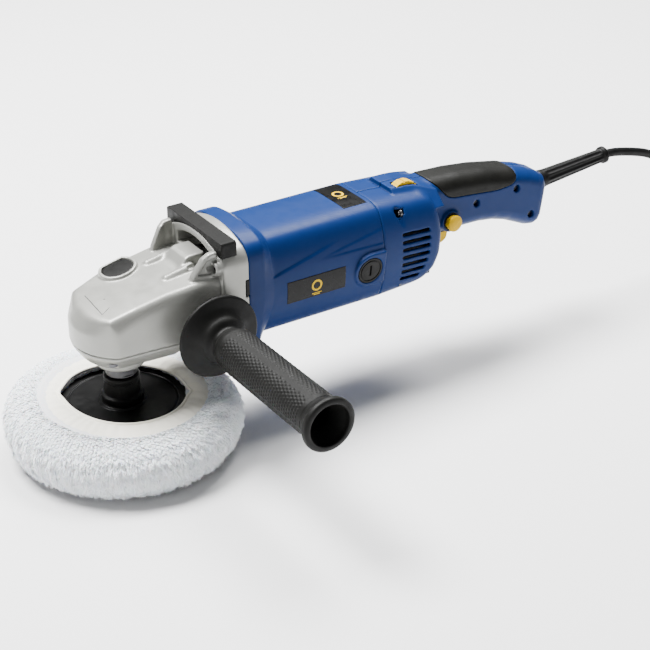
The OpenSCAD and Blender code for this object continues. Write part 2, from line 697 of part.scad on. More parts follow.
module strain_relief() color([0.14, 0.14, 0.13]) relief_frame() difference() {
    union() {
        translate([0, 0, -12]) cylinder(r = 10.5, h = 4);
        translate([0, 0, -9]) cylinder(r = 8.4, h = 12);
        translate([0, 0, 2.9]) cylinder(r1 = 8.4, r2 = 6.4, h = relief_length - 6);
        translate([0, 0, relief_length - 4]) cylinder(r = 7.9, h = 4);
    }
    translate([0, 0, -20]) cylinder(r = cord_d / 2, h = relief_length + 30);
}

module cord_clamp() color([0.2, 0.2, 0.2]) difference() {
    translate([394, -10, 119]) cube([9, 20, 8]);
    along_x(390, 0, 127.6) cylinder(r = 4.4, h = 20);
}

module cord() color([0.1, 0.1, 0.1]) {
    sweep(cord_route, cord_d / 2);
    sweep(plug_route, cord_d / 2);
}

module cord_coil() color([0.1, 0.1, 0.1]) translate([coil_centre[0], coil_centre[1], coil_base])
    rotate_extrude() translate([coil_r - coil_half, 0]) square([2 * coil_half, 3 * cord_d]);

module cord_tie() color([0.2, 0.2, 0.2]) translate([coil_centre[0], coil_centre[1], 0]) rotate([0, 0, 90])
    difference() {
        translate([coil_r - coil_half - 1.3, -6, 0.1]) cube([2 * coil_half + 2.6, 12, 3 * cord_d + 2.6]);
        rotate_extrude() translate([coil_r - coil_half, coil_base]) square([2 * coil_half, 3 * cord_d]);
    }

module plug_body() color([0.12, 0.12, 0.12]) {
    translate([plug_x - 6, plug_y, 2.4]) cube([12, 10, 12.8]);
    translate([plug_x - 13, plug_y + 9.9, 0.2]) cube([26, 28, 17.2]);
}

module plug_blades() color([0.8, 0.7, 0.4]) for (s = [-1, 1])
    translate([plug_x + s * 6.35 - 0.75, plug_y + 37.9, 5.6]) difference() {
        cube([1.5, 17, 6.4]);
        translate([-1, 13, 3.2]) rotate([0, 90, 0]) cylinder(r = 1.6, h = 4);
    }

wool_bonnet();
bonnet_collar();
collar_drawcord();
backing_pad();
pad_hub();
spindle();
crown_gear();
gear_key();
spindle_circlip();
bearing_plate();
plate_screws();
spindle_bearing();
spindle_seal();
needle_bearing();
gear_case();
rest_pad();
case_screws();
lock_button_top();
lock_pin();
lock_pin_spring();
side_handle();
handle_stud();
armature_shaft();
armature_core();
armature_windings();
commutator();
cooling_fan();
pinion_gear();
front_bearing();
rear_bearing();
rear_bearing_bracket();
baffle_ring();
stator_core();
stator_coils();
motor_housing();
brush_holders();
carbon_brushes();
brush_springs();
brush_caps();
side_badges();
top_badge();
rear_housing_left();
rear_housing_right();
grip_cover();
housing_screws();
handle_screws();
speed_dial();
speed_board();
trigger();
trigger_switch();
trigger_spring();
run_lock_button();
run_lock_spring();
strain_relief();
cord_clamp();
cord();
cord_coil();
cord_tie();
plug_body();
plug_blades();
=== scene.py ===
"""The looks of a rotary polisher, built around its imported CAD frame.

Shapes are worked out in millimetres in the frame's own axes and scaled to metres as they become meshes:
+Z up along the spindle, +X rearwards along the motor, the side handle along -Y.
"""
import json
import math

import bpy
import bmesh
import numpy as np
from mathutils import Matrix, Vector

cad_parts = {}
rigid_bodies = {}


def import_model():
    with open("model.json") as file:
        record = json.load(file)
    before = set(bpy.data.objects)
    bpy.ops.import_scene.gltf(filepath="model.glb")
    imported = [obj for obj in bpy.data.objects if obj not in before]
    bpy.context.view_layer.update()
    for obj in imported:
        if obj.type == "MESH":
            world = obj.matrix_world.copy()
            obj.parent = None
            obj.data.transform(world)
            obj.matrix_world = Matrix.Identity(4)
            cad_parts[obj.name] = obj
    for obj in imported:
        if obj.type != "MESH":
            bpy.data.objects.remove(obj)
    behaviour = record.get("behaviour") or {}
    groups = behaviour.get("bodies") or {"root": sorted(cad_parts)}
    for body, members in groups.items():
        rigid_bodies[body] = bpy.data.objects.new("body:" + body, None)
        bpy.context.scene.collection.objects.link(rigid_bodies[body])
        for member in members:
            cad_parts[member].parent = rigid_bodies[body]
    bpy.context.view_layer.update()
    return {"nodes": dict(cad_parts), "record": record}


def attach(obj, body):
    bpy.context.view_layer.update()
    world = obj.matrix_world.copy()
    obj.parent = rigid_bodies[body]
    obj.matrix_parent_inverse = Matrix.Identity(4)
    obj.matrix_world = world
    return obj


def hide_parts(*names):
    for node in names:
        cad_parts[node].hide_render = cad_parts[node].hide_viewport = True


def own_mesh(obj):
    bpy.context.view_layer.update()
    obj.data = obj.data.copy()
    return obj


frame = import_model()
NODES = frame["nodes"]
MM = 0.001
TAU = 2 * math.pi
rng = np.random.default_rng(11)

# ---- sizes, in millimetres ----
AXIS_Z = 122.0  # the motor's axis
HALF_W, HALF_H, BOW = 42.5, 44.6, 238  # the motor shell's half width and height, and its sides' bow
NOSE_X, NOSE_R = 7, 45.6  # the arc of the gear case's front, seen from above
BRUSH_X = 210
HANDLE = (56.0, 109.0)  # the side handle's axis, in x and z
REACH, SLEEVE_R = 216.5, 17.2  # how far the side handle reaches, and the radius of its grip
REST_ARCH_R, REST_ARCH_Z = 84.5, 88.5  # the arch that the rest bar sits on
LOCK, LOCK_PIN = (14.5, 25), (9.64, 16.37)  # the spindle lock's button and pin, in x and y
DIAL, RUN_LOCK = (265, 156.8), (309, 126)  # their axes, in x and z
CORD_D = 8.0
COIL_X, COIL_Y, COIL_R = 650.0, -20.0, 44.0
PLUG_X = COIL_X + COIL_R + CORD_D


def add_object(name, data):
    ob = bpy.data.objects.new(name, data)
    bpy.context.scene.collection.objects.link(ob)
    return ob


def settle(node, values):
    """Sets a shader node's inputs by name."""
    for key, value in values.items():
        node.inputs[key].default_value = value


def shade(colour, by):
    return tuple(by * c for c in colour)


# ---- camera, light and floor ----
def make_camera():
    camera = add_object("camera", bpy.data.cameras.new("camera"))
    camera.data.lens = 94.82
    camera.data.clip_end = 20
    camera.location = (-0.5120, -1.07045, 0.75195)
    camera.rotation_euler = Vector((0.48285, 0.73228, -0.48022)).to_track_quat("-Z", "Y").to_euler()
    bpy.context.scene.camera = camera


def area_light(name, place, target, size, power):
    lamp = bpy.data.lights.new(name, "AREA")
    lamp.shape, lamp.size, lamp.energy = "DISK", size, power
    ob = add_object(name, lamp)
    ob.location = place
    ob.rotation_euler = (Vector(target) - Vector(place)).to_track_quat("-Z", "Y").to_euler()


def make_studio():
    world = bpy.data.worlds.new("studio")
    bpy.context.scene.world = world
    world.use_nodes = True
    settle(world.node_tree.nodes["Background"], {"Color": (0.95, 0.97, 1, 1), "Strength": 0.25})
    middle = (0.2, 0, 0.08)
    area_light("key", (-0.5, 0.7, 2.0), middle, 1.1, 175)
    area_light("top", (0.9, 0.7, 2.0), middle, 1.3, 130)
    area_light("front", (-1.6, -0.7, 0.5), (0, 0, 0.1), 0.9, 5)
    mesh = bpy.data.meshes.new("floor")
    far = 6
    mesh.from_pydata([(-far, -far, 0), (far, -far, 0), (far, far, 0), (-far, far, 0)], [], [(0, 1, 2, 3)])
    floor = add_object("floor", mesh)
    floor.location.z = -0.0004
    paint = bpy.data.materials.new("floor_white")
    paint.use_nodes = True
    settle(paint.node_tree.nodes["Principled BSDF"], {"Base Color": (0.8, 0.8, 0.8, 1), "Roughness": 0.8})
    mesh.materials.append(paint)


# ---- materials ----
class Paint:
    """A Principled material whose colour, roughness and bump come from layered noise."""

    def __init__(self, name, colour, rough, metal=0.0, coat=0.0, sheen=0.0):
        self.material = bpy.data.materials.new(name)
        self.material.use_nodes = True
        self.tree = self.material.node_tree
        self.shader = self.tree.nodes["Principled BSDF"]
        self.place = self.node("ShaderNodeTexCoord").outputs["Object"]
        self.colour = self.rgb(colour)
        self.rough_value = rough
        self.height = None
        settle(self.shader, {"Roughness": rough, "Metallic": metal, "Coat Weight": coat,
                             "Sheen Weight": sheen, "Coat Roughness": 0.18, "Specular IOR Level": 0.13})

    def node(self, kind, **settings):
        made = self.tree.nodes.new(kind)
        for key, value in settings.items():
            setattr(made, key, value)
        return made

    def link(self, a, b):
        self.tree.links.new(a, b)

    def rgb(self, colour):
        made = self.node("ShaderNodeRGB")
        made.outputs[0].default_value = (*colour, 1)
        return made.outputs[0]

    def noise(self, scale, detail=4.0, stretch=None):
        made = self.node("ShaderNodeTexNoise")
        settle(made, {"Scale": scale, "Detail": detail})
        self.link(self.stretched(stretch) if stretch else self.place, made.inputs["Vector"])
        return made.outputs["Fac"]

    def stretched(self, stretch):
        made = self.node("ShaderNodeMapping")
        settle(made, {"Scale": stretch})
        self.link(self.place, made.inputs["Vector"])
        return made.outputs["Vector"]

    def band(self, value, low, high, to_low=0.0, to_high=1.0):
        made = self.node("ShaderNodeMapRange")
        settle(made, {"From Min": low, "From Max": high, "To Min": to_low, "To Max": to_high})
        self.link(value, made.inputs["Value"])
        return made.outputs["Result"]

    def mix(self, share, other):
        """Blends the colour so far towards another by a share that varies over the surface."""
        made = self.node("ShaderNodeMix", data_type="RGBA")
        self.link(share, made.inputs["Factor"])
        self.link(self.colour, made.inputs["A"])
        self.link(self.rgb(other), made.inputs["B"])
        self.colour = made.outputs["Result"]
        return self

    def mottle(self, other, scale=30.0, low=0.42, high=0.7, most=0.6):
        return self.mix(self.band(self.noise(scale), low, high, 0, most), other)

    def worn_edges(self, other, most=0.5, low=0.52, high=0.62):
        sharp = self.band(self.node("ShaderNodeNewGeometry").outputs["Pointiness"], low, high, 0, most)
        return self.mix(sharp, other)

    def painted_hollow_shade(self, other, most=0.5):
        # Painted shade: the colour goes towards the darker one in hollows and inner corners, where shade
        # falls.
        hollow = self.band(self.node("ShaderNodeNewGeometry").outputs["Pointiness"], 0.49, 0.42, 0, most)
        return self.mix(hollow, other)

    def rough(self, scale, spread):
        low, high = self.rough_value - spread, self.rough_value + spread
        varied = self.band(self.noise(scale), 0.3, 0.7, low, high)
        self.link(varied, self.shader.inputs["Roughness"])
        return self

    def bump(self, value, strength, distance=0.0003):
        made = self.node("ShaderNodeBump")
        settle(made, {"Strength": strength, "Distance": distance})
        self.link(value, made.inputs["Height"])
        if self.height is not None:
            self.link(self.height, made.inputs["Normal"])
        self.height = made.outputs["Normal"]
        return self

    def done(self):
        self.link(self.colour, self.shader.inputs["Base Color"])
        if self.height is not None:
            self.link(self.height, self.shader.inputs["Normal"])
        return self.material


def silver_paint():
    p = Paint("silver_casting", (0.27, 0.27, 0.25), 0.40, metal=0.45, coat=0.2)
    p.mottle((0.24, 0.244, 0.228), 14).mottle((0.31, 0.31, 0.29), 70, most=0.35)
    # The darkest colour here, put in the hollows, is painted shade.
    p.worn_edges((0.52, 0.52, 0.49), 0.6).painted_hollow_shade((0.10, 0.10, 0.09), 0.5)
    p.rough(90, 0.06).bump(p.noise(900, 3), 0.12, 0.0002).bump(p.noise(140), 0.10, 0.0004)
    return p.done()


def blue_plastic():
    p = Paint("housing_blue", (0.0012, 0.0165, 0.088), 0.44)
    p.mottle((0.002, 0.020, 0.102), 18, most=0.5).worn_edges((0.012, 0.055, 0.18), 0.35)
    # The near-black put in the hollows is painted shade.
    p.painted_hollow_shade((0.001, 0.004, 0.018), 0.6)
    p.rough(120, 0.05).bump(p.noise(1400, 2), 0.10, 0.00015)
    return p.done()


def black_moulding(name, colour=(0.0035, 0.0035, 0.0032), rough=0.46, grain=900, strength=0.25):
    p = Paint(name, colour, rough)
    p.mottle(shade(colour, 1.7), 40).worn_edges(shade(colour, 3.2), 0.5)
    p.rough(160, 0.08).bump(p.noise(grain, 3), strength, 0.00025)
    return p.done()


def yellow_plastic():
    p = Paint("control_yellow", (0.58, 0.35, 0.0), 0.42)
    p.mottle((0.64, 0.40, 0.0), 60).worn_edges((0.72, 0.46, 0.0), 0.5)
    # The deeper orange put in the hollows is painted shade.
    p.painted_hollow_shade((0.42, 0.19, 0.0), 0.6).rough(200, 0.05).bump(p.noise(1200, 2), 0.08, 0.0002)
    return p.done()


def bare_steel(name="bare_steel", colour=(0.62, 0.62, 0.63), rough=0.26):
    p = Paint(name, colour, rough, metal=1.0)
    lines = p.noise(260, 2, stretch=(1, 1, 14))
    # The dark brown put in the hollows is painted shade.
    p.mottle(shade(colour, 0.7), 110).painted_hollow_shade((0.10, 0.09, 0.08), 0.6)
    p.rough(240, 0.09).bump(lines, 0.12, 0.0001)
    return p.done()


def metal(name, colour, rough=0.35, grain=400):
    p = Paint(name, colour, rough, metal=0.9)
    p.mottle(shade(colour, 0.6), 160).rough(200, 0.1).bump(p.noise(grain), 0.15, 0.0002)
    return p.done()


def wool(name, tone):
    p = Paint(name, shade((0.95, 0.96, 0.98), tone), 0.95, sheen=0.3)
    settle(p.shader, {"Sheen Roughness": 0.6, "Subsurface Weight": 0.15, "Subsurface Scale": 0.004})
    p.mottle(shade((0.88, 0.90, 0.96), tone), 55, most=0.5)
    p.mottle(shade((0.98, 0.98, 0.98), tone), 320, most=0.6)
    p.bump(p.noise(700, 5), 0.6, 0.0008)
    return p.done()


def cloth(name, colour, warm):
    p = Paint(name, colour, 0.85, sheen=0.35)
    p.mottle(warm, 22, most=0.5).mottle(shade(colour, 0.93), 260, most=0.4)
    weave = p.node("ShaderNodeTexWave", wave_type="BANDS", bands_direction="DIAGONAL")
    settle(weave, {"Scale": 420, "Distortion": 1.5})
    p.link(p.place, weave.inputs["Vector"])
    p.bump(weave.outputs["Fac"], 0.25, 0.0002).bump(p.noise(500, 4), 0.25, 0.0003)
    return p.done()


def make_materials():
    return {
        "silver": silver_paint(), "blue": blue_plastic(), "yellow": yellow_plastic(),
        "black": black_moulding("black_plastic"),
        "gloss_black": black_moulding("badge_black", (0.0015, 0.0015, 0.0015), 0.3, 500, 0.05),
        "rubber": black_moulding("handle_rubber", (0.0042, 0.0042, 0.0038), 0.52, 1100, 0.30),
        "grip": black_moulding("grip_rubber", (0.0042, 0.0042, 0.0034), 0.50, 1500, 0.35),
        "pad": black_moulding("pad_rubber", (0.003, 0.003, 0.003), 0.36, 300, 0.15),
        "cord": black_moulding("cord_rubber", (0.0028, 0.0028, 0.0028), 0.48, 1300, 0.2),
        "steel": bare_steel(), "chrome": bare_steel("bright_steel", (0.75, 0.75, 0.76), 0.14),
        "dark_steel": bare_steel("dark_steel", (0.10, 0.10, 0.105), 0.4),
        "lamination": metal("lamination", (0.24, 0.24, 0.25), 0.45),
        "copper": metal("copper", (0.62, 0.26, 0.10), 0.38, 1200),
        "brass": metal("brass", (0.72, 0.52, 0.22), 0.3),
        "board": black_moulding("board_green", (0.01, 0.06, 0.025), 0.4),
        # The second wool is a darker copy of the first: painted shade for the wool's body deep under the
        # locks.
        "wool": wool("wool_pile", 1.0), "wool_depth": wool("wool_depth", 0.72),
        "collar": cloth("collar_cloth", (0.83, 0.80, 0.70), (0.88, 0.86, 0.78)),
    }


CAD_LOOKS = {
    "steel": ["crown_gear", "gear_key", "pinion_gear", "spindle_bearing", "needle_bearing", "front_bearing",
              "rear_bearing", "armature_shaft", "brush_springs"],
    "black": ["cooling_fan", "rear_bearing_bracket", "baffle_ring", "trigger_switch", "cord_clamp",
              "spindle_seal", "carbon_brushes"],
    "dark_steel": ["spindle_circlip", "plate_screws"],
    "lamination": ["armature_core", "stator_core"],
    "copper": ["armature_windings", "stator_coils", "commutator"],
    "brass": ["brush_holders"],
    "board": ["speed_board"],
}

# The record's slot for each look whose slot has another name.
SLOTS = {"silver": "case_metal", "blue": "housing_blue", "yellow": "yellow_plastic",
         "black": "black_plastic", "gloss_black": "badge_black", "rubber": "handle_rubber",
         "grip": "grip_rubber", "pad": "pad_rubber", "cord": "cord_rubber", "collar": "collar_cloth",
         "wool_depth": "wool"}
LOOKS = {}  # the materials by look, filled in main()


def paint_cad():
    for look, nodes in CAD_LOOKS.items():
        for name in nodes:
            data = NODES[name].data
            data.materials.clear()
            data.materials.append(LOOKS[look])


# ---- meshes ----
def make_piece(name, shape, look, stands_for=(), body="root", slot=None, sharp=None):
    """A mesh piece from points in millimetres and faces, riding on a CAD body."""
    points, faces = shape
    mesh = bpy.data.meshes.new(name)
    mesh.from_pydata(np.asarray(points) * MM, [], np.asarray(faces).tolist() if len(faces) else [])
    mesh.validate()
    return place_mesh(name, mesh, look, stands_for, body, slot, sharp)


def place_mesh(name, mesh, look, stands_for=(), body="root", slot=None, sharp=None):
    mesh.polygons.foreach_set("use_smooth", [True] * len(mesh.polygons))
    if sharp is not None:
        mesh.set_sharp_from_angle(angle=math.radians(sharp))
    mesh.materials.clear()
    mesh.materials.append(LOOKS[look])
    ob = add_object(name, mesh)
    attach(ob, body)
    slot or SLOTS.get(look, look)
    if stands_for:
        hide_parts(*stands_for)
    return ob


def soften(node, look, width):
    """A copy of a CAD node with its sharp edges rounded, standing for it."""
    source = NODES[node]
    mesh = source.data.copy()
    work = bmesh.new()
    work.from_mesh(mesh)
    bmesh.ops.remove_doubles(work, verts=work.verts, dist=1e-6)
    bmesh.ops.dissolve_limit(work, angle_limit=math.radians(1), verts=work.verts, edges=work.edges)
    work.to_mesh(mesh)
    work.free()
    body = source.parent.name.partition(":")[2]
    ob = place_mesh(node + "_finished", mesh, look, [node], body, slot_of(node), 40)
    rounding = ob.modifiers.new("edges", "BEVEL")
    rounding.width, rounding.segments = width * MM, 3
    rounding.limit_method, rounding.angle_limit = "ANGLE", math.radians(35)
    rounding.use_clamp_overlap = True
    rounding.harden_normals = False
    return ob


def slot_of(node):
    return next(s["material_slot"] for s in frame["record"]["subparts"] if s["node"] == node)


class Block:
    """A box of space sampled on a regular grid, on which solids are blended as distance fields."""

    def __init__(self, low, high, step):
        self.low, self.step = np.array(low, float), step
        axes = [np.arange(a, b + step, step, dtype=np.float32) for a, b in zip(low, high)]
        self.x, self.y, self.z = np.meshgrid(*axes, indexing="ij", sparse=True)
        self.shape = tuple(len(a) for a in axes)

    def skin(self, field):
        """Points and faces of the surface where the field is zero: one point per crossed cell."""
        f = np.ascontiguousarray(np.broadcast_to(field, self.shape), np.float32)
        inside = f < 0
        corners = [(i, j, k) for i in (0, 1) for j in (0, 1) for k in (0, 1)]

        def cell(values, c):
            return values[tuple(slice(c[a], values.shape[a] - 1 + c[a]) for a in range(3))]

        count = sum(cell(inside, c).astype(np.int8) for c in corners)
        crossed = (count > 0) & (count < 8)
        number = np.full(crossed.shape, -1, np.int32)
        cells = np.argwhere(crossed)
        number[crossed] = np.arange(len(cells))
        value = {c: cell(f, c)[crossed] for c in corners}
        total, hits = np.zeros((len(cells), 3)), np.zeros(len(cells))
        for c in corners:
            for axis in (a for a in range(3) if c[a] == 0):
                d = tuple(1 if a == axis else c[a] for a in range(3))
                cut = (value[c] < 0) != (value[d] < 0)
                gap = np.where(cut, value[c] - value[d], 1)
                spot = np.tile(np.array(c, float), (len(cells), 1))
                spot[:, axis] = value[c] / gap
                total += spot * cut[:, None]
                hits += cut
        points = self.low + self.step * (cells + total / hits[:, None])
        faces = []
        for axis in range(3):
            u, v = (axis + 1) % 3, (axis + 2) % 3
            near = [slice(1, -1)] * 3
            near[axis] = slice(0, -1)
            far = list(near)
            far[axis] = slice(1, None)
            start, end = inside[tuple(near)], inside[tuple(far)]
            for keep, turn in ((start & ~end, 1), (~start & end, -1)):
                at = np.argwhere(keep)
                at[:, u] += 1
                at[:, v] += 1
                ring = []
                for du, dv in ((1, 1), (0, 1), (0, 0), (1, 0)):
                    spot = at.copy()
                    spot[:, u] -= du
                    spot[:, v] -= dv
                    ring.append(number[tuple(spot.T)])
                faces.append(np.stack(ring[::turn], 1))
        return points, np.concatenate(faces)


def join(a, b, k=0.0):
    """Two solids together, with a fillet of about k."""
    if not k:
        return np.minimum(a, b)
    h = np.clip(0.5 + 0.5 * (b - a) / k, 0, 1)
    return b + (a - b) * h - k * h * (1 - h)


def common(a, b, k=0.0):
    return -join(-a, -b, k)


def cut(a, b, k=0.0):
    return -join(-a, b, k)


def between(value, low, high):
    return np.maximum(low - value, value - high)


def box(b, low, high, r=0.0):
    parts = [between(v, lo + r, hi - r) for v, lo, hi in zip((b.x, b.y, b.z), low, high)]
    outside = np.sqrt(sum(np.maximum(p, 0) ** 2 for p in parts))
    return outside + np.minimum(np.maximum(np.maximum(parts[0], parts[1]), parts[2]), 0) - r


def rod(u, v, w, centre, r, low, high, round_=0.0):
    """A cylinder along w, of radius r round the centre in u and v."""
    across = np.sqrt((u - centre[0]) ** 2 + (v - centre[1]) ** 2) - r + round_
    along = between(w, low + round_, high - round_)
    outside = np.hypot(np.maximum(across, 0), np.maximum(along, 0))
    return outside + np.minimum(np.maximum(across, along), 0) - round_


def polygon(u, v, outline):
    """The signed distance to a closed outline in the plane of u and v."""
    pts = np.array(outline, float)
    best, sign = np.inf, 1.0
    for a, b in zip(pts, np.roll(pts, -1, 0)):
        e, du, dv = b - a, u - a[0], v - a[1]
        t = np.clip((du * e[0] + dv * e[1]) / (e @ e), 0, 1)
        best = np.minimum(best, (du - t * e[0]) ** 2 + (dv - t * e[1]) ** 2)
        side = e[0] * dv - e[1] * du
        up = (v >= a[1]) & (v < b[1]) & (side > 0)
        down = (v < a[1]) & (v >= b[1]) & (side < 0)
        sign = np.where(up | down, -sign, sign)
    return sign * np.sqrt(best)


def slab(flat, across, r):
    """A flat distance given thickness by another, with their shared edge rounded to r."""
    p, q = flat + r, across + r
    return np.hypot(np.maximum(p, 0), np.maximum(q, 0)) + np.minimum(np.maximum(p, q), 0) - r


def ramp(value, low, high):
    t = np.clip((value - low) / (high - low), 0, 1)
    return t * t * (3 - 2 * t)


def unit(v):
    return v / np.linalg.norm(v, axis=1)[:, None]


def fillet(points, radius, steps=4):
    """A polyline with its corners rounded."""
    pts = [np.array(p, float) for p in points]
    out = [pts[0]]
    for a, b, c in zip(pts, pts[1:], pts[2:]):
        r = min(radius, 0.49 * np.linalg.norm(b - a), 0.49 * np.linalg.norm(c - b))
        p, q = b + (a - b) / np.linalg.norm(a - b) * r, b + (c - b) / np.linalg.norm(c - b) * r
        out += [(1 - t) ** 2 * p + 2 * t * (1 - t) * b + t * t * q for t in np.linspace(0, 1, steps + 1)]
    return np.array(out + [pts[-1]])


def quads_round(rows, turn, closed=False):
    """The faces between rows of turn points each, row after row, and back to the first if closed."""
    i, j = np.meshgrid(np.arange(rows if closed else rows - 1), np.arange(turn), indexing="ij")
    k, after = (j + 1) % turn, (i + 1) % rows
    return np.stack([i * turn + j, i * turn + k, after * turn + k, after * turn + j], -1).reshape(-1, 4)


def lathe(profile, turn, centre=(0, 0, 0), axis="z", shift=None):
    """Turns (radius, height) points round an axis. shift(angle, row) adds to the radius."""
    angle = np.arange(turn) * TAU / turn
    r = np.repeat(profile[:, :1], turn, 1)
    if shift is not None:
        r = r + shift(angle[None, :], profile[:, 1][:, None])
    h = np.repeat(profile[:, 1:2], turn, 1)
    across = [r * np.cos(angle), r * np.sin(angle)]
    order = {"z": (across[0], across[1], h), "y": (across[1], h, across[0]), "x": (h, across[0], across[1])}
    points = np.stack(order[axis], -1).reshape(-1, 3) + np.array(centre)
    return points, quads_round(len(profile), turn)


def tube_along(points, r, sides=8, closed=False):
    """A round tube through points, with its ends closed unless it is a ring."""
    p = np.asarray(points, float)
    t = np.roll(p, -1, 0) - np.roll(p, 1, 0) if closed else np.gradient(p, axis=0)
    t = unit(t)
    up = np.tile([0.0, 0.0, 1.0], (len(p), 1))
    up[np.abs(t[:, 2]) > 0.9] = (0, 1, 0)
    u = unit(np.cross(up, t))
    v = np.cross(t, u)
    a = np.arange(sides) * TAU / sides
    ring = np.cos(a)[None, :, None] * u[:, None] + np.sin(a)[None, :, None] * v[:, None]
    rings = p[:, None] + np.reshape(np.broadcast_to(r, len(p)), (-1, 1, 1)) * ring
    return rings.reshape(-1, 3), quads_round(len(p), sides, closed)


# ---- the motor housing ----
def crown(y):
    """How far the top falls away towards the sides: nearly flat, then rolling over."""
    return 15.4 * (np.abs(y) / 40) ** 5


def section(b, half_w, half_h, k=5.0):
    """The housings' cross-section: bowed sides and a crowned top and bottom that meet in a soft ridge."""
    dz = b.z - AXIS_Z
    top = (np.abs(dz) - half_h + 1.1 * (dz < 0) + crown(b.y)) / np.sqrt(1 + (1.9 * (b.y / 40) ** 4) ** 2)
    side = (np.abs(b.y) - half_w + dz ** 2 / BOW) / np.sqrt(1 + (2 * dz / BOW) ** 2)
    return common(top, side, k)


def side_steps(b):
    """How far the sides step in above the moulded lines: one rising line, then two."""
    def above(x0, z0, x1, z1):
        rise = ((b.z - z0) * (x1 - x0) - (b.x - x0) * (z1 - z0)) / math.hypot(x1 - x0, z1 - z0)
        return ramp(rise, -0.7, 0.7)

    first = above(119.6, 134.7, 179.6, 148.8)
    second = 0.5 * above(162, 137.9, 225.2, 136.6) + 0.5 * above(190.3, 142.7, 222.1, 148.1)
    return 1.1 * ramp(b.x, 115, 121) * (first + (second - first) * ramp(b.x, 158, 186))


def brush_axes(b, side):
    """Coordinates round a brush cap: across along X, across upwards, and out along the cap's axis."""
    tilt = math.radians(8)
    out = side * (b.y * math.cos(tilt) + (b.z - AXIS_Z) * math.sin(tilt))
    return b.x - BRUSH_X, (b.z - AXIS_Z) * math.cos(tilt) - b.y * math.sin(tilt), out


def motor_housing():
    b = Block((92.2, -47, 70), (226.5, 47, 174), 0.85)
    taper = np.clip((118 - 6 * ramp(AXIS_Z - b.z, 0, 40) - b.x) / 10, 0, 1)
    top = (b.z - 173.5 + 8 * (np.abs(b.y) / 42) ** 4) / np.sqrt(1 + (0.76 * (np.abs(b.y) / 42) ** 3) ** 2)
    collar = common(top, np.abs(b.y) - 44.3, 8)
    collar = common(collar, (AXIS_Z - 50) - b.z, 12)
    body = section(b, HALF_W - side_steps(b), HALF_H)
    body = body + (collar - body) * taper
    inner = common(section(b, HALF_W - 3, HALF_H - 3), 100 - b.x)
    for side in (-1, 1):
        u, v, w = brush_axes(b, side)
        tail = np.hypot(np.minimum(u, 0), v) - 15.2
        boss = slab(tail, between(w, 30, 44.4), 1.2)
        body = join(body, boss, 1.0)
        inner = cut(inner, rod(u, v, w, (0, 0), 13.5, 30, 60))
        body = cut(body, rod(u, v, w, (0, 0), 11.9, 36, 60), 0.8)
    body = common(cut(body, inner), between(b.x, 93.6, 225), 0.9)
    make_piece("motor_shell", b.skin(body), "blue", ["motor_housing"])


def surface_y(z, lift):
    """How far from the middle plane the motor housing's flat side is."""
    return HALF_W - (z - AXIS_Z) ** 2 / BOW + lift


def surface_z(y, lift):
    return AXIS_Z + HALF_H - crown(y) + lift


def plate(us, vs, place, thick):
    """A thin rounded plate: place(u, v, lift) puts its corners on a curved surface."""
    rows = []
    for inset, lift in ((0, -0.5), (0, 0.6 * thick), (0.35, thick)):
        u = np.linspace(us[0] + inset, us[1] - inset, 15)
        v = np.linspace(vs[0] + inset, vs[1] - inset, 9)
        edge = [(a, v[0]) for a in u[:-1]] + [(u[-1], c) for c in v[:-1]]
        edge += [(a, v[-1]) for a in u[:0:-1]] + [(u[0], c) for c in v[:0:-1]]
        rows.append([place(a, c, lift) for a, c in edge])
    rim = [p for row in rows for p in row]
    i, j = np.meshgrid(np.arange(len(u) - 1), np.arange(len(v) - 1), indexing="ij")
    first = (len(rim) + i * len(v) + j).ravel()
    top = np.stack([first, first + 1, first + len(v) + 1, first + len(v)], 1)
    points = rim + [place(a, c, thick) for a in u for c in v]
    return points, np.concatenate([quads_round(len(rows), len(edge)), top])


def ring_on(centre, r, wide, place, turn=40):
    """A flat ring lying on a curved surface."""
    points = []
    for radius, lift in ((r, 0.2), (r, 0.45), (r - wide, 0.45), (r - wide, 0.2)):
        for k in range(turn):
            a = k * TAU / turn
            points.append(place(centre[0] + radius * math.cos(a), centre[1] + radius * math.sin(a), lift))
    return points, quads_round(4, turn)


def badges():
    """The dark plates on both sides and the top, each with a plain ring and bars."""
    def left(x, z, lift):
        return (x, -surface_y(z, lift), z)

    def right(x, z, lift):
        return (x, surface_y(z, lift), z)

    def top(x, y, lift):
        return (x, y, surface_z(y, lift))

    for name, place in (("side_plate_left", left), ("side_plate_right", right)):
        points, faces = plate((130, 186), (107, 126.4), place, 0.35)
        stands = ["side_badges"] if "left" in name else []
        make_piece(name, (points, faces), "gloss_black", stands, sharp=30)
        marks(name, (158, 117), place)
    make_piece("top_plate", plate((198, 221), (-21, 25), top, 0.35), "gloss_black", ["top_badge"], sharp=30)
    marks("top_plate", (209, 4), top)


def marks(name, middle, place):
    make_piece(name + "_ring", ring_on(middle, 5.0, 1.7, place), "yellow", sharp=30)
    for n, half in enumerate((4.6, 3.0)):
        low = middle[1] - 7.3 - 1.3 * n
        across = (middle[0] - half, middle[0] + half)
        shape = plate(across, (low, low + 0.7), lambda u, v, t: place(u, v, t + 0.3), 0.15)
        make_piece(f"{name}_bar_{n}", shape, "yellow", sharp=30)


# ---- the gear case ----
CASE_TOP = ((-40, 127), (-30, 130), (-24, 131.8), (0, 139.2), (24, 144.6), (50, 148), (72, 148.6))


def deck(x):
    return np.interp(x, [p[0] for p in CASE_TOP], [p[1] for p in CASE_TOP]).astype(np.float32)


def nose(b, inset=0.0):
    """The nose seen from above: an arc in front that meets the straight widening sides."""
    half = np.interp(b.x, (-30, 0, 20, 45, 72), (36.4, 38.4, 40, 42, 42.5)).astype(np.float32)
    side = np.abs(b.y) - half + inset
    front = np.hypot(b.x - NOSE_X, b.y) - NOSE_R + inset
    front = np.where(b.x > NOSE_X, -20.0, front)
    return common(side, front, 2.5)


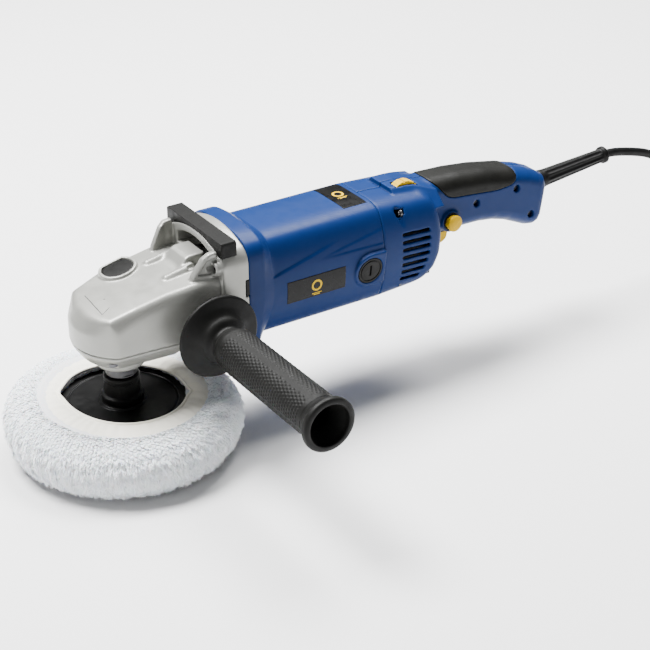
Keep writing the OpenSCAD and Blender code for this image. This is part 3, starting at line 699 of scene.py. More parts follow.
def gear_case():
    b = Block((-41, -50.5, 90), (95.5, 50.5, 177), 0.8)
    top = (b.z - deck(b.x) + (b.y / 38) ** 2) / 1.04
    rise = np.clip((b.z - 117) / 13, 0, 1.3)
    lean = rise * (8.5 - 6.5 * np.clip(np.abs(b.y) / 34, 0, 1) ** 2)
    front = (NOSE_X + lean - np.sqrt(np.maximum(NOSE_R ** 2 - b.y ** 2, 30)) - b.x) / 1.25
    half = np.interp(b.x, (-30, 0, 24, 50, 72), (31.0, 35.4, 37.2, 39.6, 41)).astype(np.float32)
    rim = ((np.abs(b.y) - half) * 7 + (b.z - deck(b.x) + 1) * 3) / 7.6
    body = common(nose(b), common(front, rim, 1.0), 2.0)
    body = common(body, top, 3.2)
    body = common(body, between(b.x, -60, 74))
    body = np.maximum(body, np.where(b.x > 60, 92.0, 101.1) - b.z)
    body = gear_case_details(b, body)
    arch = common(np.hypot(b.y, b.z - 86) - 89, np.abs(b.y) - 44.5, 9)
    arch = common(arch, 72.5 - b.z, 10)
    flange = slab(arch, between(b.x, 70, 94), 1.6)
    body = join(body, flange, 2.0)
    pocket = common(np.hypot(b.y, b.z - 106.5) - 60.5, between(b.x, 66, 88))
    pocket = common(pocket, np.maximum(np.abs(b.y) - 28, 151.5 - b.z), 3)
    body = cut(body, pocket, 1.0)
    body = join(body, case_block(b), 3.0)
    for side in (-1, 1):
        body = cut(body, rod(b.y, b.z, b.x, (19 * side, 152), 2.8, 54, 75), 0.6)
        body = cut(body, rod(b.y, b.z, b.x, (38.5 * side, 155.2), 3.3, 61, 73), 0.6)
    seat = box(b, (69, -43.9, 164), (84.4, 43.9, 180), 0.3)
    body = cut(body, np.maximum(seat, REST_ARCH_R - 0.2 - np.hypot(b.y, b.z - REST_ARCH_Z)), 0.5)
    body = cut(body, box(b, (90.5, -60, 126), (96, -42.8, 141), 0.3), 0.4)
    make_piece("gear_case_casting", b.skin(body), "silver", ["gear_case"])


def case_block(b):
    """The saddle that carries the lock between the fins, in front of the arch."""
    outline = ((43, 140), (46.5, 146), (55.5, 156), (58.5, 157.6), (72, 158), (72, 140))
    return slab(polygon(b.x, b.z, outline), np.abs(b.y) - 12.8, 1.6)


def capsule(b, p, q, r):
    p, q = np.array(p, float), np.array(q, float)
    d = q - p
    t = np.clip(((b.x - p[0]) * d[0] + (b.y - p[1]) * d[1] + (b.z - p[2]) * d[2]) / (d @ d), 0, 1)
    return np.sqrt((b.x - p[0] - t * d[0]) ** 2 + (b.y - p[1] - t * d[1]) ** 2
                   + (b.z - p[2] - t * d[2]) ** 2) - r


def gear_case_details(b, body):
    """Fins, fingers, the lock button's rim and the handle sockets."""
    for side in (-1, 1):
        fin = polygon(b.x, b.z, ((45, 140), (49, 151), (57, 164.5), (62, 168.4), (74, 169.5), (74, 142)))
        across = b.y * side + 0.28 * np.clip(62 - b.x, 0, 22)
        body = join(body, slab(fin, between(across, 33.0, 38.4), 1.2), 1.6)
        hollow = polygon(b.x, b.z, ((53, 151), (60.5, 163), (69, 164.5), (69, 151)))
        body = cut(body, slab(hollow, between(across, 36.4, 45), 0.6), 1.0)
        body = join(body, rod(b.y, b.z, b.x, (38.5 * side, 155.2), 5.6, 65.2, 74, 1.2), 2.0)
        finger = capsule(b, (36.5, 15.6 * side, 145.4), (58, 15.6 * side, 149.6), 3.3)
        body = join(body, finger, 2.2)
        socket = rod(b.x, b.z, b.y * side, HANDLE, 11, 30, 48, 1.0)
        body = join(body, socket, 1.8)
        body = cut(body, rod(b.x, b.z, b.y * side, HANDLE, 4.05, 36, 60))
    rim = common(np.hypot(b.x - LOCK[0], b.y - LOCK[1]) - 15.4, b.y - 36.4, 2.0)
    body = join(body, slab(rim, b.z - deck(b.x) - 2.6, 1.0), 1.8)
    well = common(np.hypot(b.x - LOCK[0], b.y - LOCK[1]) - 12.9, b.y - 34.3, 1.0)
    body = cut(body, common(well, 132.5 - b.z), 0.5)
    return cut(body, rod(b.x, b.y, b.z, LOCK_PIN, 2.3, 120, 145))


def bearing_plate():
    b = Block((-41, -46, 71.5), (62, 46, 102), 0.8)
    lean = np.clip((99 - b.z) / 13, 0, 1.1) ** 1.3 * 8.5
    body = common(nose(b, 1.2 + lean), between(b.z, 86, 101), 3.0)
    body = common(body, b.x - 59.5, 1.0)
    body = join(body, rod(b.x, b.y, b.z, (0, 0), 20, 76.5, 92, 1.8), 3.5)
    body = cut(body, rod(b.x, b.y, b.z, (0, 0), 13.2, 60, 79))
    for x, y in ((-20.4, 29.1), (-20.4, -29.1), (36, 31), (36, -31)):
        body = cut(body, rod(b.x, b.y, b.z, (x, y), 3.7, 60, 94.5), 0.6)
    body = cut(body, box(b, (22, -60, 99.2), (31, -39.8, 103)), 0.5)
    for side in (-1, 1):
        body = cut(body, rod(b.x, b.z, b.y * side, HANDLE, 11.4, 36, 60))
    make_piece("bearing_cover", b.skin(body), "silver", ["bearing_plate"])


def rest_pad():
    """The rubber bar on top of the arch: flat above, arched below, with chamfered edges."""
    b = Block((68, -45, 160), (86, 45, 178.5), 0.55)
    bar = box(b, (70.1, -43.5, 164), (83.9, 43.5, 177), 0.5)
    bevel = (b.z - 177 + np.maximum(np.abs(b.x - 77) - 6.9, 0) + 1.2) * 0.7 - 0.6
    bar = common(bar, np.maximum(bevel, (np.abs(b.y) - 43.5 + b.z - 177 + 1.6) * 0.7), 0.4)
    shape = b.skin(cut(bar, np.hypot(b.y, b.z - REST_ARCH_Z) - REST_ARCH_R, 0.6))
    make_piece("rest_bar", shape, "rubber", ["rest_pad"], slot="black_plastic")


def screws():
    """The case and rear housing screws, seen down their wells: domed heads with a round socket."""
    domed = np.array([(0.01, 0.725), (1.218, 0.725), (1.45, -1.595), (2.32, -1.218), (2.9, 0), (2.9, 1.45),
                      (1.508, 1.45), (1.508, 24), (0.01, 24)])
    for n, (y, z) in enumerate(((38.5, 155.2), (-38.5, 155.2), (36, 88), (-36, 88))):
        make_piece(f"case_screw_{n}", lathe(domed, 28, (68.2, y, z), "x"), "dark_steel",
                   [] if n else ["case_screws"], slot="steel", sharp=35)
    flanged = np.array([(0.01, -2.4), (1.6, -2.4), (1.7, -1), (3.0, -1), (3.0, 1), (1.6, 1.2), (1.6, -1.6),
                        (0.01, -1.6)])
    for n, (y, z) in enumerate(((1, 1), (-1, 1), (1, -1), (-1, -1))):
        shape = lathe(flanged, 28, (246, 33 * y, AXIS_Z + 32.5 * z), "x")
        make_piece(f"housing_screw_{n}", shape, "dark_steel", [] if n else ["housing_screws"], sharp=35)


def spring(name, stands_for, foot, axis, r, long):
    """A three-turn coil standing on its foot."""
    turns = np.linspace(0, 3 * TAU, 90)
    axis = np.array(axis, float)
    side = np.array((1, 0, 0))
    other = np.cross(axis, side)
    wire = np.array(foot) + r * np.outer(np.cos(turns), side) + r * np.outer(np.sin(turns), other)
    shape = tube_along(wire + np.outer(long * turns / turns[-1], axis), 0.38)
    coil = make_piece(name, shape, "steel", [stands_for])
    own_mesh(coil)


def lock_button():
    """The black spindle-lock button, level with the rim that slopes up round it."""
    b = Block((0, 10, 136), (30, 40, 152), 0.5)
    shape = common(np.hypot(b.x - LOCK[0], b.y - LOCK[1]) - 12.3, b.y - 33.7, 1.2)
    rise = b.z - (deck(b.x) + 1.5 + 0.5 * (1 - ((b.x - 14.5) ** 2 + (b.y - 25) ** 2) / 150))
    field = slab(shape, np.maximum(rise, 138.6 - b.z), 0.6)
    make_piece("lock_button", b.skin(field), "black", ["lock_button_top"], body="spindle_lock")
    pin = np.array([(0.01, 110.2), (1.4, 110.2), (1.9, 110.8), (1.9, 139.5), (0.01, 139.5)])
    make_piece("lock_pin_turned", lathe(pin, 24, (*LOCK_PIN, 0)), "steel", ["lock_pin"],
               body="spindle_lock", sharp=40)
    spring("lock_spring", "lock_pin_spring", (*LOCK, 133), (0, 0, 1), 6, 5.4)


def engraving():
    """The fine corner line and the dot cut into the front of the deck."""
    def on_deck(x, y):
        return (x, y, float(deck(x)) - (y / 38) ** 2 - 0.05)

    line = [(-19.5, 15.6), (-21.7, -18.6), (-13.5, -15.3)]
    path = [on_deck(*((1 - t) * np.array(p) + t * np.array(q)))
            for p, q in zip(line, line[1:]) for t in np.linspace(0, 0.95, 14)]
    make_piece("engraved_line", tube_along(path, 0.32, 6), "dark_steel", slot="case_metal")
    shape = lathe(np.array([(0.01, 0.2), (0.7, 0.2), (0.9, -0.3)]), 16, on_deck(-11.5, -2.5))
    make_piece("engraved_dot", shape, "dark_steel", slot="case_metal")


def case_catch():
    """The black catch let into the flange's near edge."""
    b = Block((89.5, -45.5, 125), (95, -41.5, 142), 0.5)
    make_piece("case_catch", b.skin(box(b, (90.7, -44.2, 126.6), (94.2, -42.2, 140.6), 0.5)), "black")


# ---- the side handle ----
def side_handle():
    outer = [(4.05, REACH - 120), (11, REACH - 120), (11, 17), (16.3, 4), (16.6, 0.4), (18.5, 0.1),
             (21.6, 0.8), (21.8, 4.6), (20.4, 6.4), (18.0, 9.4), (SLEEVE_R, 14)]
    outer = fillet([(r, h - REACH) for r, h in outer], 2.2)
    neck = fillet([(SLEEVE_R, -86), (15.8, -80), (13.4, -76.5), (13.6, -73), (18.6, -70.5), (20.4, -66.5),
                   (25, -63.4), (33.2, -61.9), (34.5, -60.6), (34.3, -58.6), (32, -58), (14, -57.6),
                   (12, -55.5), (12, -48.2), (4.05, -48.1), (4.05, -120)], 2.0)
    middle = (HANDLE[0], 0, HANDLE[1])
    make_piece("side_handle_end", lathe(outer, 96, middle, "y"), "rubber", ["side_handle"], sharp=50)
    make_piece("side_handle_guard", lathe(neck, 96, middle, "y"), "rubber", sharp=50)
    rows = np.arange(14 - REACH, -85.9, 0.52)
    profile = np.stack([np.full(len(rows), SLEEVE_R), rows], 1)
    turn = 210
    make_piece("side_handle_sleeve", lathe(profile, turn, middle, "y", dimples), "rubber")


def dimples(angle, y):
    """Staggered rows of small pips round the sleeve, with smooth bands lengthwise and at both ends."""
    pitch, count = 3.05, 36
    row = np.floor(y / pitch)
    along = (y / pitch - row - 0.5) * pitch
    turn = angle * count / TAU + 0.5 * (row % 2)
    across = (turn - np.floor(turn) - 0.5) * TAU * SLEEVE_R / count
    pip = 0.62 * (1 - ramp(np.hypot(along, across), 0.35, 1.25))
    panel = np.cos(4 * (angle - 0.5))
    keep = ramp(panel, -0.92, -0.86) * ramp(y, 16.5 - REACH, 18.5 - REACH) * (1 - ramp(y, -91.5, -89.5))
    swell = 0.25 * ramp(panel, -0.97, -0.90)
    return pip * keep + swell


# ---- the rear housing ----
REAR_SIDE = ((200, 60), (260, 76), (273, 84), (281.5, 97), (285.6, 112), (286.6, 131), (284.5, 146),
             (281, 160), (276, 170), (200, 175))
HANDLE_SIDE = ((272, 163.4), (292, 165.0), (322, 163.8), (349, 160.8), (379, 155.2), (399, 149.6),
               (411, 144.6), (418.6, 139.6), (421.4, 132), (419.8, 120), (417.2, 103.4), (413.2, 96.6),
               (406.6, 93.9), (399, 95.3), (389, 99.8), (376, 105.6), (361, 109.8), (345, 112.0),
               (300, 113.2), (272, 114))
HUMP = ((249, 150), (249, 169.4), (262, 169.2), (272, 167.6), (281, 165.0), (291, 161.8), (291, 150))
HANDLE_SCREWS = ((338, 135), (382, 138), (400, 109))


def handle_shape(b, grow=0.0):
    """The rear handle: its side outline with elliptical edges."""
    flat = np.maximum(polygon(b.x, b.z, HANDLE_SIDE) + 12, 0) / 12
    across = np.maximum(np.abs(b.y) - 5, 0) / 14.5
    return (np.sqrt(flat ** 2 + across ** 2) - 1) * 12 - grow


def rear_outside(b):
    sunk = 0.06 * np.clip(b.x - 225, 0, 70)
    body = common(section(b, HALF_W - 0.3 * sunk, HALF_H - sunk), polygon(b.x, b.z, REAR_SIDE), 8)
    whole = join(body, handle_shape(b), 11)
    steep = (np.abs(b.y) - 14 - 1.1 * (169.8 - b.z)) / 1.5
    hump = slab(polygon(b.x, b.z, HUMP), steep, 1.0)
    whole = join(whole, hump, 1.5)
    boss = rod(b.x, b.z, b.y, RUN_LOCK, 9.6, -22.2, 0, 1.2)
    return join(whole, boss, 2.5)


def rear_openings(b, whole):
    """Vents, screw wells and the openings for the dial, the trigger, the run lock and the cord."""
    for row in range(7):
        middle = 137.8 - 6.9 * row - 0.06 * (b.x - 244)
        length = common(244 - b.x, polygon(b.x, b.z, REAR_SIDE) + 13.5)
        slot = common(np.abs(b.z - middle) - 1.45, length, 1)
        whole = cut(whole, np.maximum(slot, 24 - np.abs(b.y)), 0.7)
    for x, z in HANDLE_SCREWS:
        whole = cut(whole, rod(b.x, b.z, np.abs(b.y), (x, z), 3.3, 13.5, 40), 0.8)
    for side in (-1, 1):
        whole = cut(whole, capsule(b, (242.2, 34.5 * side, 158.6), (245.8, 42 * side, 147.0), 3.3), 0.8)
        whole = cut(whole, rod(b.y * side, b.z, b.x, (33, 155), 3.1, 240, 249), 0.4)
    whole = cut(whole, rod(b.x, b.z, b.y, DIAL, 15.6, -14.6, -4.4), 0.4)
    whole = cut(whole, box(b, (293, -8.7, 90), (318.5, 8.7, 130), 0.5), 0.6)
    whole = cut(whole, rod(b.x, b.z, b.y, RUN_LOCK, 6.75, -40, -8), 0.3)
    across = b.x - 422, b.z - 129.9
    u = -across[0] * math.sin(0.0946) + across[1] * math.cos(0.0946)
    return cut(whole, np.maximum(np.hypot(b.y, u) - 8.7, 410 - b.x), 0.6)


def grip_region(b):
    outline = fillet([(283, 172), (296, 160), (305, 149.5), (312, 146.6), (330, 145), (362, 141.6),
                      (378, 143.6), (384, 150), (382, 158), (374, 164), (372, 172), (283, 172)], 7, 5)
    return polygon(b.x, b.z, outline[:-1])


def rear_housing():
    for side, name in ((-1, "left"), (1, "right")):
        low, high = (-44.5, 1.0) if side < 0 else (-1.0, 44.5)
        b = Block((223.5, low, 73), (424, high, 172), 0.85)
        outside = rear_outside(b)
        whole = np.maximum(outside, -(outside + 3.0))
        wells = np.minimum.reduce([np.hypot(b.x - x, b.z - z) - 5.5 for x, z in HANDLE_SCREWS])
        whole = np.minimum(whole, np.maximum(outside, np.maximum(wells, np.abs(b.y) - 17)))
        rim = np.hypot(b.x - DIAL[0], b.z - DIAL[1]) - 18.0
        whole = np.minimum(whole, np.maximum(outside, np.maximum(rim, between(b.y, -17, -2.5))))
        whole = rear_openings(b, whole)
        whole = cut(whole, np.maximum(grip_region(b), -2.0 - outside))
        whole = common(whole, 225.15 - b.x, 0.9)
        whole = common(whole, 0.05 - b.y * side, 0.7)
        make_piece(f"rear_shell_{name}", b.skin(whole), "blue", [f"rear_housing_{name}"])


def grip():
    b = Block((281, -21.5, 139), (387, 21.5, 170), 0.7)
    outside = rear_outside(b) - 0.45
    cover = slab(grip_region(b) + 0.15, outside, 0.9)
    make_piece("grip_sleeve", b.skin(np.maximum(cover, -1.9 - outside)), "grip", ["grip_cover"])


def vent_shade_sheets():
    """Dark sheets a short way behind the vents: painted shade that keeps the vent slots dark inside."""
    for side, name in ((-1, "left"), (1, "right")):
        us, vs = (241, 279), (90, 142)

        def place(x, z, lift):
            return (x, side * (37.2 - (z - AXIS_Z) ** 2 / BOW - 0.02 * (x - 225) - lift), z)

        make_piece(f"vent_screen_{name}", plate(us, vs, place, 0.6), "black", sharp=30)


def speed_dial():
    """The dial: a finely ribbed wheel with a pointer groove, on a bored hub."""
    b = Block((247, -16, 140), (283, -3, 174), 0.45)
    turn = np.arctan2(b.z - DIAL[1], b.x - DIAL[0])
    radius = np.hypot(b.x - DIAL[0], b.z - DIAL[1])
    ribs = 14.5 + 0.14 * np.cos(28 * turn)
    body = slab(radius - ribs, between(b.y, -13.6, -5.4), 0.8)
    body = cut(body, np.maximum(np.abs(radius * np.sin(turn - 1.62)) - 0.5, 13.2 - radius))
    make_piece("dial", b.skin(cut(body, radius - 2.3)), "yellow", ["speed_dial"], body="speed_dial")


def trigger():
    """The rocker-shaped trigger with its plunger, and the black surround it slides in."""
    b = Block((291, -9.5, 96), (320, 9.5, 124.5), 0.5)
    outline = fillet([(294.2, 117), (294.2, 104), (296.5, 99.4), (301, 98.6), (311, 100.2), (315.5, 103.6),
                      (317.2, 112), (317.2, 117), (294.2, 117)], 2)
    lever = slab(polygon(b.x, b.z, outline[:-1]), np.abs(b.y) - 8, 1.6)
    plunger = box(b, (299, -3, 112), (304, 3, 122.7), 0.4)
    make_piece("trigger_lever", b.skin(join(lever, plunger, 0.4)), "yellow", ["trigger"], body="trigger")
    b = Block((289, -14, 109), (322, 14, 122), 0.6)
    frame_side = polygon(b.x, b.z, ((290.4, 111.6), (320.5, 111.4), (320.5, 120), (290.4, 120)))
    ring = slab(frame_side, np.abs(b.y) - 11, 2)
    hole = box(b, (293.2, -8.6, 90), (318.3, 8.6, 130), 0.3)
    make_piece("trigger_surround", b.skin(cut(ring, hole, 0.5)), "black")


def run_lock():
    """The domed run-lock button, the springs behind it and the trigger, and a black ring round the button:
    partly the dark switch surround, partly painted shade of the recess round it.
    """
    middle = (RUN_LOCK[0], 0, RUN_LOCK[1])
    dome = fillet([(0.01, -29.4), (4.2, -29.0), (6.9, -27.9), (7.4, -26.9), (7.2, -26.0), (6.5, -25.7),
                   (6.5, -14.1), (3, -14.1), (3, -11), (0.01, -11)], 0.8)
    make_piece("run_lock", lathe(dome, 48, middle, "y"), "yellow", ["run_lock_button"], body="run_lock",
               sharp=50)
    spring("run_lock_coil", "run_lock_spring", (RUN_LOCK[0], -8.9, RUN_LOCK[1]),
           (0, -1, 0), 4.2, 4.8)
    spring("trigger_coil", "trigger_spring", (310, 0, 126.6), (0, 0, -1), 3, 8.9)
    # A black ring round the button: partly the dark surround, partly painted shade in the recess round the
    # button.
    collar = fillet([(6.85, -12), (6.85, -22.9), (8.0, -22.9), (8.4, -22.2), (8.4, -12)], 0.4)
    make_piece("run_lock_collar", lathe(collar, 48, middle, "y"), "black", sharp=50)


# ---- pad and bonnet ----
BONNET_SIDE = ((67, 45.6), (73, 46.4), (80, 45.4), (86.5, 42.2), (91, 37.2), (93.2, 31), (93.2, 24),
               (91, 15.5), (86.4, 8), (80, 3.4), (73, 1.4))
PILE_R, CLUMPS, CLUMP_LONG = 98.4, 28, 3.3  # the pile's reach, its clumps per radian and their length
COLLAR_R, COLLAR_FLAT = 72.5, 0.147  # the collar's outer radius, and its flat side in metres
UP = np.array([0, 0, 1.0])
MOUTH_TURN = math.radians(-31.4)


def bonnet_base():
    """The wool's body: a thick soft ring and disc with a lumpy face, open above the pad."""
    outside = [(50.5, 44.6), *BONNET_SIDE, (40, 0.9), (0.05, 0.9)]
    inside = [(0.05, 13.4), (79.3, 13.7), (83.3, 22), (83.3, 33), (69.6, 41.3), (50.5, 41.6), (50.5, 44.6)]
    profile = np.concatenate([fillet(outside, 6, 5), np.array(inside)])
    lumps = rng.uniform(0, TAU, 12)

    def swell(angle, z):
        wave = sum(np.sin(n * angle + lumps[i] + 0.35 * z) for i, n in enumerate((7, 11, 17, 26, 38)))
        return np.where((z > 1.2) & (z < 44.5), 0.28 * wave, 0)

    points, faces = lathe(profile, 240, shift=swell)
    outer = np.hypot(points[:, 0], points[:, 1]) > 60
    points[:, 2] += outer * lift(np.arctan2(points[:, 1], points[:, 0]), points[:, 2])
    # The body takes the darker copy of the wool, painted shade deep among the locks.
    ob = make_piece("bonnet", (points, faces), "wool_depth", ["wool_bonnet"], body="spindle")


def lift(angle, z):
    """How much higher the wool's shoulder stands on its far side."""
    return 5.5 * (0.5 + 0.5 * np.cos(angle - math.radians(140))) ** 2 * ramp(z, 14, 42)


def pile_roots(total):
    """Where the locks grow: root, directions, angle, height and place along the bonnet's side."""
    line = fillet(BONNET_SIDE, 5, 5)
    step = np.linalg.norm(np.diff(line, axis=0), axis=1)
    weight = step * (line[:-1, 0] + line[1:, 0])
    travel = np.concatenate([[0], np.cumsum(step)])
    seg = rng.choice(len(step), total, p=weight / weight.sum())
    t = rng.random(total)
    ring = line[seg] + t[:, None] * (line[seg + 1] - line[seg])
    way = (line[seg + 1] - line[seg]) / step[seg][:, None]
    out = np.stack([-way[:, 1], way[:, 0]], 1)
    phi = rng.uniform(0, TAU, total)
    radial = np.stack([np.cos(phi), np.sin(phi), 0 * phi], 1)
    around = np.stack([-np.sin(phi), np.cos(phi), 0 * phi], 1)
    normal = radial * out[:, :1] + UP * out[:, 1:]
    along = radial * way[:, :1] + UP * way[:, 1:]
    root = radial * ring[:, :1] + UP * ring[:, 1:]
    return root, normal, along, around, phi, ring[:, 1], travel[seg] + t * step[seg]


def pile_layer(total):
    """Fine bent locks that gather in clumps, combed outwards on top and hanging down round the side."""
    root, normal, along, around, phi, height, run = pile_roots(total)
    side = ramp(46 - height, 3, 16)
    column = np.floor(phi * CLUMPS)
    row = np.floor(run / CLUMP_LONG + 0.5 * (column % 2))
    pull_round = ((column + 0.5) / CLUMPS - phi) * 90
    pull_down = (row + 0.5 - 0.5 * (column % 2)) * CLUMP_LONG - run
    gather = around * pull_round[:, None] + along * pull_down[:, None]
    clump = np.sin(column * 12.9 + row * 78.2) + 0.8 * np.sin(column * 4.7 - row * 31.1)
    twist = rng.normal(0, 0.3, total) + 0.2 * clump
    lie = unit(along + around * twist[:, None])
    long = (2.3 + 3.2 * side) * rng.uniform(0.6, 1.25, total) * (1 + 0.16 * clump)
    stand = (0.34 + 0.24 * side + 0.12 * clump + rng.normal(0, 0.08, total))[:, None]
    heading = unit(lie + stand * normal)
    mid = root + heading * long[:, None] * 0.55 + 0.3 * gather
    droop = heading * 0.75 + lie * 0.3 - UP * 0.12 * side[:, None]
    tip = mid + droop * long[:, None] * 0.5 + 0.4 * gather
    wide = unit(np.cross(heading, normal)) * rng.uniform(0.30, 0.62, total)[:, None]
    wide = wide + normal * rng.normal(0, 0.12, total)[:, None]
    low = root - normal * 0.4
    points = np.stack([low - wide, low + wide, mid - 0.8 * wide, mid + 0.8 * wide, tip], 1)
    radius = np.hypot(points[..., 0], points[..., 1])
    points[..., :2] *= np.minimum(1, PILE_R / radius)[..., None]
    points[..., 2] += lift(phi, height)[:, None]
    points[..., 2] = np.clip(points[..., 2], 0.15, 56)
    return points.reshape(-1, 3)


def pile():
    total = 36000
    base = 5 * np.arange(total)
    quads = np.stack([base, base + 1, base + 3, base + 2], 1)
    tips = np.stack([base + 2, base + 3, base + 4], 1)
    for n in range(3):
        mesh = bpy.data.meshes.new(f"pile_{n}")
        mesh.from_pydata(pile_layer(total) * MM, [], quads.tolist() + tips.tolist())
        place_mesh(f"pile_{n}", mesh, "wool", body="spindle")


def mouth(angle):
    """How far the collar's hem is from the middle: a lopsided oval drawn to a point at two ends."""
    a = (angle - MOUTH_TURN + math.pi) % TAU - math.pi
    oval = 48.4 + 1.7 * np.cos(a) - 0.8 * np.sin(a) + 1.5 * np.cos(2 * a) - 2.8 * np.sin(2 * a)
    oval = oval + 0.7 * np.sin(3 * a)
    return oval + 2.6 * np.exp(-(a / 0.12) ** 2) + 2.6 * np.exp(-((np.abs(a) - math.pi) / 0.17) ** 2)


def collar():
    """The cloth collar: from under the pile up to a hem drawn round the pad, with slight gathers."""
    turn, rows = 360, 22
    angle = np.arange(turn) * TAU / turn
    t = np.linspace(0, 1, rows)[:, None]
    hem = mouth(angle)[None, :]
    r = COLLAR_R + (hem - COLLAR_R) * t
    gathers = 0.28 * np.sin(46 * angle + 1.3 * np.sin(5 * angle)) + 0.2 * np.sin(29 * angle + 2)
    slope = 43.8 + 4.6 * np.sin(np.minimum(t * 1.35, 1) * math.pi / 2) - 1.2 * ramp(t, 0.72, 1.0)
    knot = np.exp(-((angle - MOUTH_TURN - 0.16 + math.pi) % TAU - math.pi) ** 2 / 0.004)
    slope = slope + 0.8 * lift(angle, 40) * (1 - t) ** 1.5
    z = slope + gathers * (0.35 + 0.65 * t) * (1 - ramp(t, 0.9, 1.0)) + 1.1 * knot * ramp(t, 0.3, 0.6)
    x, y = r * np.cos(angle), r * np.sin(angle)
    points = np.stack([x, y, np.broadcast_to(z, x.shape)], -1).reshape(-1, 3)
    shape = points, quads_round(rows, turn)
    cloth = make_piece("collar", shape, "collar", ["bonnet_collar"], body="spindle")
    thick = cloth.modifiers.new("thickness", "SOLIDIFY")
    thick.thickness, thick.offset = 0.9 * MM, -1
    edge = np.stack([mouth(angle) * np.cos(angle), mouth(angle) * np.sin(angle), 0 * angle + 47.3], 1)
    hem_piece = make_piece("collar_hem", tube_along(edge, 1.15, 10, closed=True), "collar",
                           ["collar_drawcord"], body="spindle")


def pad_and_hub():
    face = fillet([(0.05, 14), (79, 14), (83, 22), (83, 33), (69, 41), (45.0, 41.1), (44.5, 40.5),
                   (43.5, 40.5), (43.0, 41.1), (19.5, 41.3), (18.6, 42.8), (14.4, 43)], 0.8)
    make_piece("pad", lathe(face, 144), "pad", ["backing_pad"], body="spindle", sharp=30)
    hub = fillet([(14.4, 42.5), (17.0, 43.4), (17.2, 48.2), (15.6, 49.2), (14.6, 49.6), (14.5, 60.2),
                  (13.9, 60.6), (13.9, 61.8), (14.5, 62.2), (14.4, 65.2), (13.4, 66), (8.05, 66),
                  (8.05, 50)], 0.5)
    make_piece("hub", lathe(hub, 96), "black", ["pad_hub"], body="spindle", sharp=30)


def plain_parts():
    """CAD parts whose shape is already right, with their edges rounded."""
    for node, look, width in (
            ("brush_caps", "black", 0.6), ("spindle", "dark_steel", 0.5),
            ("handle_stud", "chrome", 0.4), ("cord_tie", "rubber", 0.6),
            ("handle_screws", "dark_steel", 0.3), ("plug_blades", "brass", 0.3)):
        soften(node, look, width)


# ---- the cord ----
RELIEF_START, RELIEF_END = np.array([422, 0, 129.4]), np.array([500, 0, 136.2])
CORD_ROUTE = ((500, 0, 136.2), (510, 0, 135.6), (522, 0, 133.5), (538, 0, 129.6), (554, 0, 124.4),
              (568, 0, 116.6), (580, -1, 105.4), (589, -2, 90.2), (595, -4, 73), (599, -8, 55),
              (602, -15, 39), (606, -25, 28.5))
PLUG_Y = 14
COIL_FROM, COIL_TO = 215, 2880
COIL_RINGS = ((44, 21.4), (52, 21.4), (52, 13.4), (44, 13.4), (36, 13.4), (36, 5.4), (44, 5.4), (52, 5.4))


def strain_relief():
    length = float(np.linalg.norm(RELIEF_END - RELIEF_START))
    profile = fillet([(4.1, -11), (8.6, -11), (8.6, 2), (8.2, 4), (6.5, length - 5), (7.8, length - 4.2),
                      (7.9, length - 0.8), (7.2, length), (4.1, length)], 0.8)
    rows = [profile[0]]
    for p, q in zip(profile, profile[1:]):
        n = max(1, int(np.linalg.norm(q - p) / 1.5))
        rows += [p + (q - p) * k / n for k in range(1, n + 1)]

    def flutes(angle, h):
        keep = ramp(h, 5, 9) * (1 - ramp(h, length - 8, length - 5.5))
        return -0.75 * keep * (0.5 - 0.5 * np.cos(10 * angle)) ** 0.7

    points, faces = lathe(np.array(rows), 100, axis="x", shift=flutes)
    tilt = math.atan2(RELIEF_END[2] - RELIEF_START[2], RELIEF_END[0] - RELIEF_START[0])
    x = points[:, 0] * math.cos(tilt) - points[:, 2] * math.sin(tilt)
    z = points[:, 0] * math.sin(tilt) + points[:, 2] * math.cos(tilt)
    points = np.stack([x, points[:, 1], z], 1) + RELIEF_START
    make_piece("relief", (points, faces), "cord", ["strain_relief"], sharp=40)


def cord_points():
    """The cord's own line: free, then wound down the coil ring by ring, then out to the plug."""
    free = np.array(CORD_ROUTE, float)
    turns = np.radians(np.arange(COIL_FROM, COIL_TO + 1, 5.0))
    span = (COIL_TO - COIL_FROM) / len(COIL_RINGS)
    place = (np.degrees(turns) - COIL_FROM) / span
    ring = np.clip(np.floor(place).astype(int), 0, len(COIL_RINGS) - 1)
    rings = np.array(COIL_RINGS, float)
    after = np.minimum(ring + 1, len(rings) - 1)
    share = ramp(place - ring, 1 - 50 / span, 1.0)[:, None]
    r, z = (rings[ring] * (1 - share) + rings[after] * share).T
    coil = np.stack([COIL_X + r * np.cos(turns), COIL_Y + r * np.sin(turns), z], 1)
    out = np.array([(PLUG_X, -13, 5.5), (PLUG_X, -2, 6.6), (PLUG_X, 6, 8.5), (PLUG_X, PLUG_Y - 0.2, 8.8)])
    line = np.concatenate([free, coil, out])
    return smooth_line(line, 3.0)


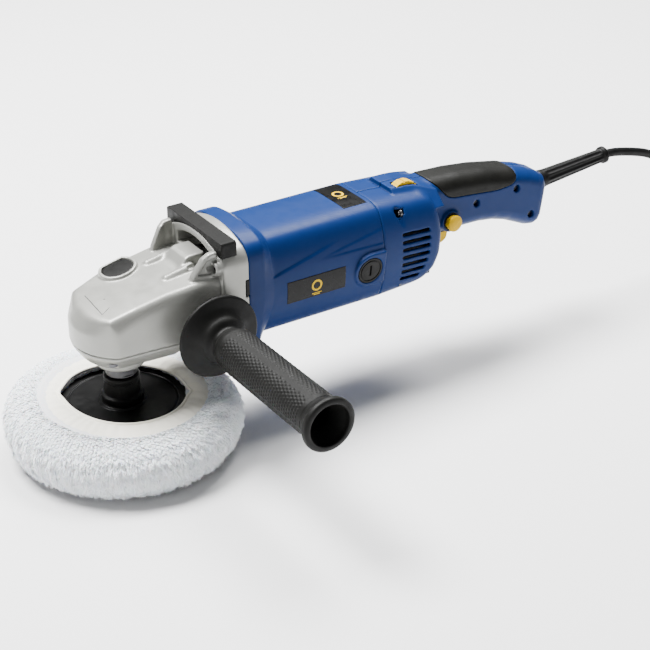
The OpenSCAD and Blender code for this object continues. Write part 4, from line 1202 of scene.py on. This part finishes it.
def smooth_line(p, step):
    """A Catmull-Rom line through the points, with points about a step apart."""
    ends = np.concatenate([[2 * p[0] - p[1]], p, [2 * p[-1] - p[-2]]])
    made = []
    for a, b, c, d in zip(ends, ends[1:], ends[2:], ends[3:]):
        n = max(1, int(np.linalg.norm(c - b) / step))
        t = (np.arange(n) / n)[:, None]
        made.append(0.5 * (2 * b + (c - a) * t + (2 * a - 5 * b + 4 * c - d) * t ** 2
                           + (3 * b - a - 3 * c + d) * t ** 3))
    return np.concatenate(made + [p[-1:]])


def make_cord():
    points = cord_points() * MM
    curve = bpy.data.curves.new("mains_cord", "CURVE")
    curve.dimensions = "3D"
    spline = curve.splines.new("POLY")
    spline.points.add(len(points) - 1)
    spline.points.foreach_set("co", np.concatenate([points, np.ones((len(points), 1))], 1).ravel())
    curve.bevel_depth = CORD_D / 2 * MM
    curve.bevel_resolution = 5
    curve.use_fill_caps = True
    curve.materials.append(LOOKS["cord"])
    line = add_object("mains_cord", curve)
    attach(line, "root")
    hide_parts("cord", "cord_coil")
    length = float(np.linalg.norm(np.diff(points, axis=0), axis=1).sum())
    return line, length


def plug():
    """The moulded plug: a ribbed neck and a waisted body."""
    b = Block((PLUG_X - 14, PLUG_Y - 1, 0), (PLUG_X + 14, PLUG_Y + 40, 18), 0.6)
    middle = 8.8
    neck = rod(b.x, b.z, b.y, (PLUG_X, middle), 5.9, PLUG_Y, PLUG_Y + 14, 0.8)
    rings = np.abs((b.y - PLUG_Y - 2.5) % 3.0 - 1.5) - 0.55
    groove = common(b.y - PLUG_Y - 9, 5.0 - np.hypot(b.x - PLUG_X, b.z - middle))
    neck = cut(neck, common(rings, groove), 0.4)
    waist = 1.4 * np.exp(-((b.y - PLUG_Y - 24) / 6) ** 2)
    flat = common(np.abs(b.x - PLUG_X) - 12.9 + waist, between(b.y, PLUG_Y + 10, PLUG_Y + 37.9), 7)
    body = slab(flat, np.abs(b.z - middle) - 8.4 + 0.5 * waist, 3.5)
    return make_piece("plug", b.skin(join(neck, body, 3)), "cord", ["plug_body"])


def cord_set():
    line, length = make_cord()
    body = plug()


def main():
    make_camera()
    make_studio()
    LOOKS.update(make_materials())
    for build in (paint_cad, plain_parts, rest_pad, screws, strain_relief, cord_set, motor_housing,
                  badges, gear_case, bearing_plate, lock_button, engraving, case_catch, side_handle,
                  rear_housing, grip, vent_shade_sheets, speed_dial, trigger, run_lock, pad_and_hub,
                  bonnet_base, pile, collar):
        build()


main()
